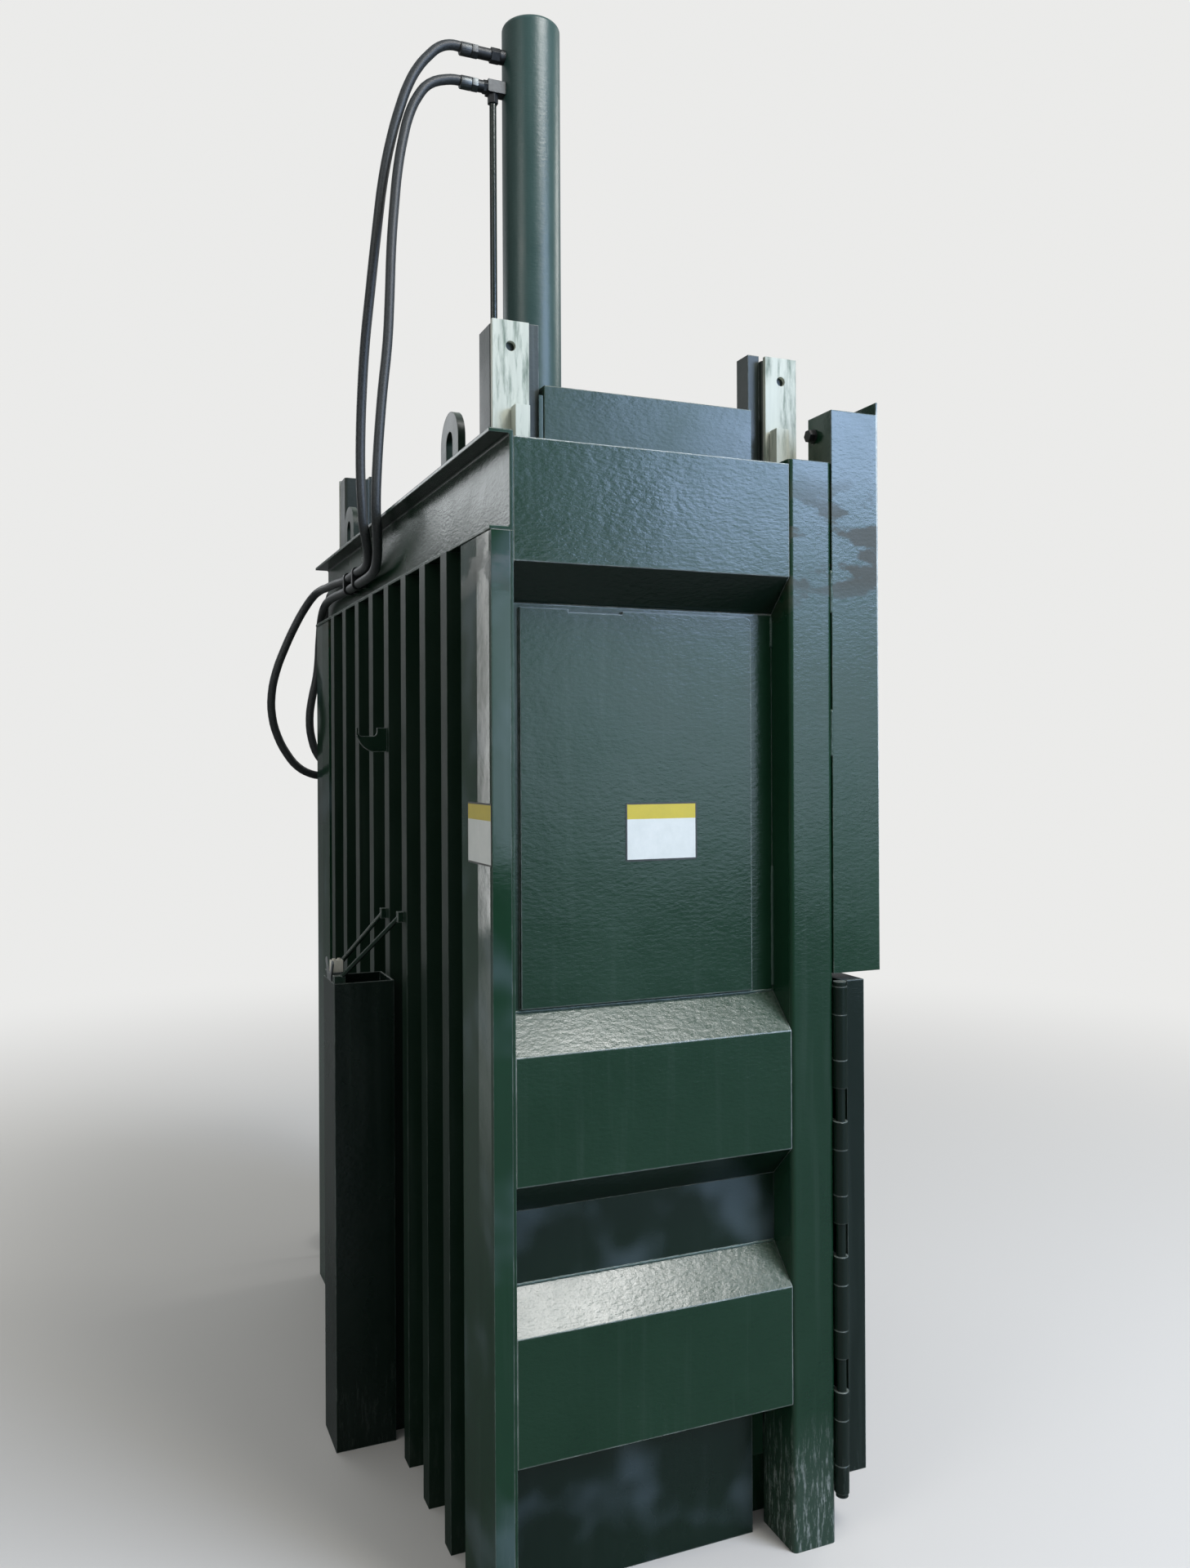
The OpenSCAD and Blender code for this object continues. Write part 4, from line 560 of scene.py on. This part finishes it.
# the liners are painted outside, and the front bars of the guides are rubbed at their sides
secondFinish = {"linerOutside": 0.765, "guideFront": -0.4585}
liners = nodes["side_liners"].data
liners.materials.append(finishes["panelEnamel"])
for face in liners.polygons:
    if abs(face.center.x) > secondFinish["linerOutside"]:
        face.material_index = 1
guides = nodes["gate_guides"].data
guides.materials.append(finishes["rubbedPrimer"])
for face in guides.polygons:
    if face.center.y < secondFinish["guideFront"] and abs(face.normal.x) > 0.9:
        face.material_index = 1

cable.data.materials.append(finishes["cableRubber"])
for hose in hoses.values():
    hose["tube"].data.materials.append(finishes["hoseRubber"])
print("finishes on the solids:", sum(len(m) for m in nodeFinish.values()), "of", len(nodes))


# crimped ferrules with a hexagon nut on each hose end, pointing away from the fitting

ferrules = {
    "pressureUpper": (0.0, 0.134, 3.446),
    "returnUpper": (0.0, 0.134, 3.36),
    "pressureLower": (0.966, 0.302, 1.572),
    "returnLower": (0.93, 0.302, 1.597),
}
ferruleShape = {
    "nutRadius": 0.019, "nutLength": 0.016, "sleeveRadius": 0.0165, "sleeveLength": 0.03,
    "sleeveRound": 0.003, "edge": 0.0012, "smoothAngle": 35,
}
for ferruleName, (x, y, z) in ferrules.items():
    nutMiddle = y + ferruleShape["nutLength"] / 2
    sleeveMiddle = y + ferruleShape["nutLength"] + ferruleShape["sleeveLength"] / 2
    bpy.ops.mesh.primitive_cylinder_add(
        vertices=6, radius=ferruleShape["nutRadius"], depth=ferruleShape["nutLength"],
        location=(x, nutMiddle, z), rotation=(math.pi / 2, 0, 0))
    nut = bpy.context.object
    bpy.ops.mesh.primitive_cylinder_add(
        vertices=24, radius=ferruleShape["sleeveRadius"], depth=ferruleShape["sleeveLength"],
        location=(x, sleeveMiddle, z), rotation=(math.pi / 2, 0, 0))
    bpy.ops.object.mode_set(mode="EDIT")
    bpy.ops.mesh.select_all(action="SELECT")
    bpy.ops.mesh.bevel(offset=ferruleShape["sleeveRound"], segments=2, clamp_overlap=True)
    bpy.ops.object.mode_set(mode="OBJECT")
    nut.select_set(True)
    bpy.ops.object.join()
    piece = bpy.context.object
    piece.name = ferruleName
    bpy.ops.object.transform_apply(location=True, rotation=True, scale=True)
    soften = piece.modifiers.new("soften", "BEVEL")
    soften.width = ferruleShape["edge"]
    soften.segments = 2
    bpy.ops.object.modifier_apply(modifier="soften")
    bpy.ops.object.shade_smooth_by_angle(angle=math.radians(ferruleShape["smoothAngle"]))
    piece.data.materials.append(finishes["dullZinc"])
    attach(piece, "frame")
    bpy.ops.object.select_all(action="DESELECT")
print("hose ferrules:", len(ferrules))


# film labels, kept to their plain colour fields

labels = {
    "panelLabel": {"centre": (-0.8251, 0.015, 1.475), "width": 0.158, "height": 0.116,
                   "turn": -90, "normal": (-1, 0, 0), "header": 1.5005},
    "cornerLabel": {"centre": (-0.812, 0.3911, 1.480), "width": 0.148, "height": 0.117,
                    "turn": 180, "normal": (0, 1, 0), "header": 1.506},
}
labelFilm = {
    "thickness": 0.0006, "cornerRadius": 0.005, "outline": 0.0035, "rough": 0.28,
    "white": "#d6d8d4", "whiteFaded": "#b9bfba", "yellow": "#c3b02c", "yellowFaded": "#a99a2b",
    "outlineColour": "#2a2d2a",
}
for labelName, label in labels.items():
    bpy.ops.mesh.primitive_plane_add(size=1, location=label["centre"],
                                     rotation=(math.pi / 2, 0, math.radians(label["turn"])))
    piece = bpy.context.object
    piece.name = labelName
    piece.scale = (label["width"], label["height"], 1)
    bpy.ops.object.transform_apply(location=True, rotation=True, scale=True)
    bpy.ops.object.mode_set(mode="EDIT")
    bpy.ops.mesh.select_all(action="SELECT")
    bpy.ops.mesh.bevel(affect="VERTICES", offset=labelFilm["cornerRadius"], segments=4)
    bpy.ops.mesh.select_all(action="SELECT")
    lift = Vector(label["normal"]) * labelFilm["thickness"]
    bpy.ops.mesh.extrude_region_move(TRANSFORM_OT_translate={"value": lift})
    bpy.ops.mesh.select_all(action="SELECT")
    bpy.ops.mesh.normals_make_consistent(inside=False)
    bpy.ops.object.mode_set(mode="OBJECT")

    # printed vinyl film: glossy, yellow over white with a thin dark outline, faded a little
    film, tree = newMaterial(labelName + "Film")
    place = addNode(tree, "ShaderNodeTexCoord").outputs["Object"]
    spot = addNode(tree, "ShaderNodeSeparateXYZ", links={0: place})
    along = spot.outputs["Y" if label["normal"][0] else "X"]
    middle = label["centre"][1] if label["normal"][0] else label["centre"][0]
    header = addNode(tree, "ShaderNodeMath", {1: label["header"]}, {0: spot.outputs["Z"]},
                     operation="GREATER_THAN")
    aside = addNode(tree, "ShaderNodeMath", {1: middle}, {0: along}, operation="SUBTRACT")
    asideSize = addNode(tree, "ShaderNodeMath", links={0: aside.outputs[0]}, operation="ABSOLUTE")
    above = addNode(tree, "ShaderNodeMath", {1: label["centre"][2]}, {0: spot.outputs["Z"]},
                    operation="SUBTRACT")
    aboveSize = addNode(tree, "ShaderNodeMath", links={0: above.outputs[0]}, operation="ABSOLUTE")
    sideLine = addNode(tree, "ShaderNodeMath", {1: label["width"] / 2 - labelFilm["outline"]},
                       {0: asideSize.outputs[0]}, operation="GREATER_THAN")
    topLine = addNode(tree, "ShaderNodeMath", {1: label["height"] / 2 - labelFilm["outline"]},
                      {0: aboveSize.outputs[0]}, operation="GREATER_THAN")
    outline = addNode(tree, "ShaderNodeMath", links={0: sideLine.outputs[0], 1: topLine.outputs[0]},
                      operation="MAXIMUM")
    fading = addNode(tree, "ShaderNodeTexNoise", {"Scale": 30.0, "Detail": 5.0, "Roughness": 0.7},
                     {"Vector": place})
    white = addNode(tree, "ShaderNodeMix",
                    {6: toLinear(labelFilm["white"]), 7: toLinear(labelFilm["whiteFaded"])},
                    {0: fading.outputs["Fac"]}, data_type="RGBA")
    yellow = addNode(tree, "ShaderNodeMix",
                     {6: toLinear(labelFilm["yellow"]), 7: toLinear(labelFilm["yellowFaded"])},
                     {0: fading.outputs["Fac"]}, data_type="RGBA")
    fields = addNode(tree, "ShaderNodeMix", links={0: header.outputs[0], 6: white.outputs[2],
                                                   7: yellow.outputs[2]}, data_type="RGBA")
    inked = addNode(tree, "ShaderNodeMix", {7: toLinear(labelFilm["outlineColour"])},
                    {0: outline.outputs[0], 6: fields.outputs[2]}, data_type="RGBA")
    shader = addNode(tree, "ShaderNodeBsdfPrincipled", {"Roughness": labelFilm["rough"]},
                     {"Base Color": inked.outputs[2]})
    addNode(tree, "ShaderNodeOutputMaterial", links={"Surface": shader.outputs[0]})
    piece.data.materials.append(film)
    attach(piece, "frame")
    bpy.ops.object.select_all(action="DESELECT")
print("labels:", len(labels))


# weld seams: lumps of bead laid one over the other, painted with the frame

seams = {
    "skinUpper": {"start": (0.816, -0.2445, 1.856), "end": (0.816, -0.2445, 1.916), "width": 0.012},
    "skinMiddle": {"start": (0.816, -0.2445, 1.149), "end": (0.816, -0.2445, 1.396), "width": 0.011},
    "shelfUpper": {"start": (0.8165, -0.24, 1.1365), "end": (0.8165, 0.343, 1.1365), "width": 0.009},
    "shelfLower": {"start": (0.8165, -0.24, 0.6155), "end": (0.8165, 0.343, 0.6155), "width": 0.009},
    "guideUpper": {"start": (0.886, -0.3465, 1.923), "end": (0.886, -0.3465, 2.007), "width": 0.011},
    "guideLower": {"start": (0.886, -0.3465, 1.628), "end": (0.886, -0.3465, 1.72), "width": 0.011},
}
# pitch and height of the lumps are shares of the width
beadShape = {"pitch": 0.42, "squash": 0.75, "lumpSize": 0.012, "lumpHeight": 0.3}
for seamName, seam in seams.items():
    for side in (-1, 1):
        start = Vector(seam["start"])
        end = Vector(seam["end"])
        start.x *= side
        end.x *= side
        run = end - start
        pitch = seam["width"] * beadShape["pitch"]
        count = max(int(run.length / pitch), 2)
        bpy.ops.mesh.primitive_uv_sphere_add(segments=8, ring_count=6, radius=seam["width"] / 2,
                                             location=(0, 0, 0))
        bead = bpy.context.object
        bead.name = seamName + ("Left" if side < 0 else "Right")
        bpy.ops.object.mode_set(mode="EDIT")
        bpy.ops.mesh.select_all(action="SELECT")
        squash = beadShape["squash"]
        upright = run.z > abs(run.y)
        bpy.ops.transform.resize(value=(squash, squash, 1.0) if upright else (squash, 1.0, squash),
                                 center_override=(0, 0, 0))
        bpy.ops.transform.translate(value=start)
        bpy.ops.object.mode_set(mode="OBJECT")
        row = bead.modifiers.new("row", "ARRAY")
        row.count = count
        row.use_relative_offset = False
        row.use_constant_offset = True
        row.constant_offset_displace = run / count
        bpy.ops.object.modifier_apply(modifier="row")
        lumps = bpy.data.textures.new(bead.name + "Lumps", "CLOUDS")
        lumps.noise_scale = beadShape["lumpSize"]
        uneven = bead.modifiers.new("uneven", "DISPLACE")
        uneven.texture = lumps
        uneven.texture_coords = "GLOBAL"
        uneven.strength = seam["width"] * beadShape["lumpHeight"]
        bpy.ops.object.modifier_apply(modifier="uneven")
        bpy.ops.object.shade_smooth()
        bead.data.materials.append(finishes["weldEnamel"])
        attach(bead, "frame")
        bpy.ops.object.select_all(action="DESELECT")
print("weld seams:", 2 * len(seams))


# floor, background and light

studio = {
    # the streak entries set a painted streak of light on the floor, seen only in reflections
    "floor": "#c9c6c1", "floorInGloss": "#5b5e5c", "lightStreakInGloss": "#d3d7d5",
    "floorRadius": 30, "fadeFrom": 1.6, "fadeTo": 6.5, "background": (0.83, 0.83, 0.82, 1),
    "streakStart": (-0.85, 0.4), "streakSlope": 0.423, "streakOuter": 0.05, "streakInner": 0.02,
    "streakFrom": 0.3, "streakFull": 3.0,
    "skyColour": (0.93, 0.97, 1.0, 1), "skyLow": 0.09, "skyHigh": 0.62, "skyTop": 0.8,
}

bpy.ops.mesh.primitive_circle_add(vertices=96, radius=studio["floorRadius"], fill_type="NGON",
                                  location=(0, 0, 0))
floor = bpy.context.object
floor.name = "floor"
# sealed concrete: pale grey and matt, fading into the background away from the machine
floorPaint, tree = newMaterial("sealedConcrete")
place = addNode(tree, "ShaderNodeTexCoord").outputs["Object"]
away = addNode(tree, "ShaderNodeVectorMath", links={0: place}, operation="LENGTH")
fade = addNode(tree, "ShaderNodeMapRange",
               {"From Min": studio["fadeFrom"], "From Max": studio["fadeTo"]},
               {"Value": away.outputs["Value"]}, interpolation_type="SMOOTHSTEP")
# a painted streak of light on the floor, running out from the rear corner and shown only in the gloss of
# the paint: a painted reflection
spot = addNode(tree, "ShaderNodeSeparateXYZ", links={0: place})
along = addNode(tree, "ShaderNodeMath", {1: studio["streakStart"][0]}, {0: spot.outputs["X"]},
                operation="SUBTRACT")
beside = addNode(tree, "ShaderNodeMath", {1: studio["streakStart"][1]}, {0: spot.outputs["Y"]},
                 operation="SUBTRACT")
slope = addNode(tree, "ShaderNodeMath", links={0: beside.outputs[0], 1: along.outputs[0]},
                operation="DIVIDE")
steeper = addNode(tree, "ShaderNodeMath", {1: studio["streakSlope"]}, {0: slope.outputs[0]},
                  operation="SUBTRACT")
offLine = addNode(tree, "ShaderNodeMath", links={0: steeper.outputs[0]}, operation="ABSOLUTE")
line = addNode(tree, "ShaderNodeMapRange",
               {"From Min": studio["streakOuter"], "From Max": studio["streakInner"]},
               {"Value": offLine.outputs[0]}, interpolation_type="SMOOTHSTEP")
reach = addNode(tree, "ShaderNodeMapRange",
                {"From Min": studio["streakFrom"], "From Max": studio["streakFull"]},
                {"Value": spot.outputs["X"]}, interpolation_type="SMOOTHSTEP")
lightStreak = addNode(tree, "ShaderNodeMath", links={0: line.outputs[0], 1: reach.outputs[0]},
                 operation="MULTIPLY")
glossToneWithLightStreak = addNode(tree, "ShaderNodeMix",
                    {6: toLinear(studio["floorInGloss"]), 7: toLinear(studio["lightStreakInGloss"])},
                    {0: lightStreak.outputs[0]}, data_type="RGBA")
path = addNode(tree, "ShaderNodeLightPath")
faded = addNode(tree, "ShaderNodeMath",
                links={0: fade.outputs[0], 1: path.outputs["Is Camera Ray"]}, operation="MULTIPLY")
mirrored = addNode(tree, "ShaderNodeMix", {6: toLinear(studio["floor"])},
                   {0: path.outputs["Is Glossy Ray"], 7: glossToneWithLightStreak.outputs[2]}, data_type="RGBA")
concrete = addNode(tree, "ShaderNodeBsdfPrincipled", {"Roughness": 0.7},
                   {"Base Color": mirrored.outputs[2]})
backdrop = addNode(tree, "ShaderNodeEmission", {"Color": studio["background"], "Strength": 1.0})
mixed = addNode(tree, "ShaderNodeMixShader",
                links={0: faded.outputs[0], 1: concrete.outputs[0], 2: backdrop.outputs[0]})
addNode(tree, "ShaderNodeOutputMaterial", links={"Surface": mixed.outputs[0]})
floor.data.materials.append(floorPaint)

world = bpy.data.worlds.new("surround")
bpy.context.scene.world = world
world.use_nodes = True
tree = world.node_tree
tree.nodes.clear()
skyward = addNode(tree, "ShaderNodeTexCoord").outputs["Generated"]
rise = addNode(tree, "ShaderNodeSeparateXYZ", links={0: skyward}).outputs["Z"]
glow = addNode(tree, "ShaderNodeMapRange",
               {"From Max": studio["skyTop"], "To Min": studio["skyLow"],
                "To Max": studio["skyHigh"]},
               {"Value": rise})
sky = addNode(tree, "ShaderNodeBackground", {"Color": studio["skyColour"]},
              {"Strength": glow.outputs[0]})
backdrop = addNode(tree, "ShaderNodeBackground", {"Color": studio["background"], "Strength": 1.0})
path = addNode(tree, "ShaderNodeLightPath")
mixed = addNode(tree, "ShaderNodeMixShader",
                links={0: path.outputs["Is Camera Ray"], 1: sky.outputs[0],
                       2: backdrop.outputs[0]})
addNode(tree, "ShaderNodeOutputWorld", links={"Surface": mixed.outputs[0]})

lamps = {
    "overhead": {"place": (-3.2, -1.6, 6.2), "aim": (-0.8, 0.1, 1.0), "size": (2.2, 1.7), "power": 260,
                 "colour": (1.0, 0.99, 0.97)},
    "coolUpper": {"place": (-6.2, -4.3, 4.4), "aim": (-0.9, -0.1, 1.8), "size": (3.2, 2.4), "power": 360,
                  "colour": (0.5, 0.67, 1.0)},
    "coolLower": {"place": (-6.2, -3.0, 1.9), "aim": (-0.9, -0.1, 1.7), "size": (3.4, 2.0), "power": 62,
                  "colour": (0.66, 0.82, 1.0)},
    "farStrip": {"place": (6.0, 3.3, 1.9), "aim": (0.0, 0.4, 1.8), "size": (0.3, 3.2), "power": 8,
                 "colour": (1.0, 1.0, 1.0)},
    "farUpper": {"place": (6.0, 3.1, 4.35), "aim": (0.0, 0.4, 2.1), "size": (3.4, 1.8), "power": 41,
                 "colour": (0.93, 0.97, 1.0)},
    "frontUpper": {"place": (1.2, -6.2, 5.6), "aim": (0.0, 0.0, 1.8), "size": (1.8, 1.6), "power": 74,
                   "colour": (1.0, 0.99, 0.96)},
    "rearFill": {"place": (-3.2, 5.6, 5.2), "aim": (-0.2, 0.4, 1.0), "size": (2.4, 2.0), "power": 60,
                 "colour": (1.0, 0.97, 0.93)},
}
for lampName, lamp in lamps.items():
    bpy.ops.object.light_add(type="AREA", location=lamp["place"])
    light = bpy.context.object
    light.name = lampName
    light.data.shape = "RECTANGLE"
    light.data.size, light.data.size_y = lamp["size"]
    light.data.energy = lamp["power"]
    light.data.color = lamp["colour"]
    aim = Vector(lamp["aim"]) - Vector(lamp["place"])
    light.rotation_euler = aim.to_track_quat("-Z", "Y").to_euler()
print("floor, background and", len(lamps), "lamps set")
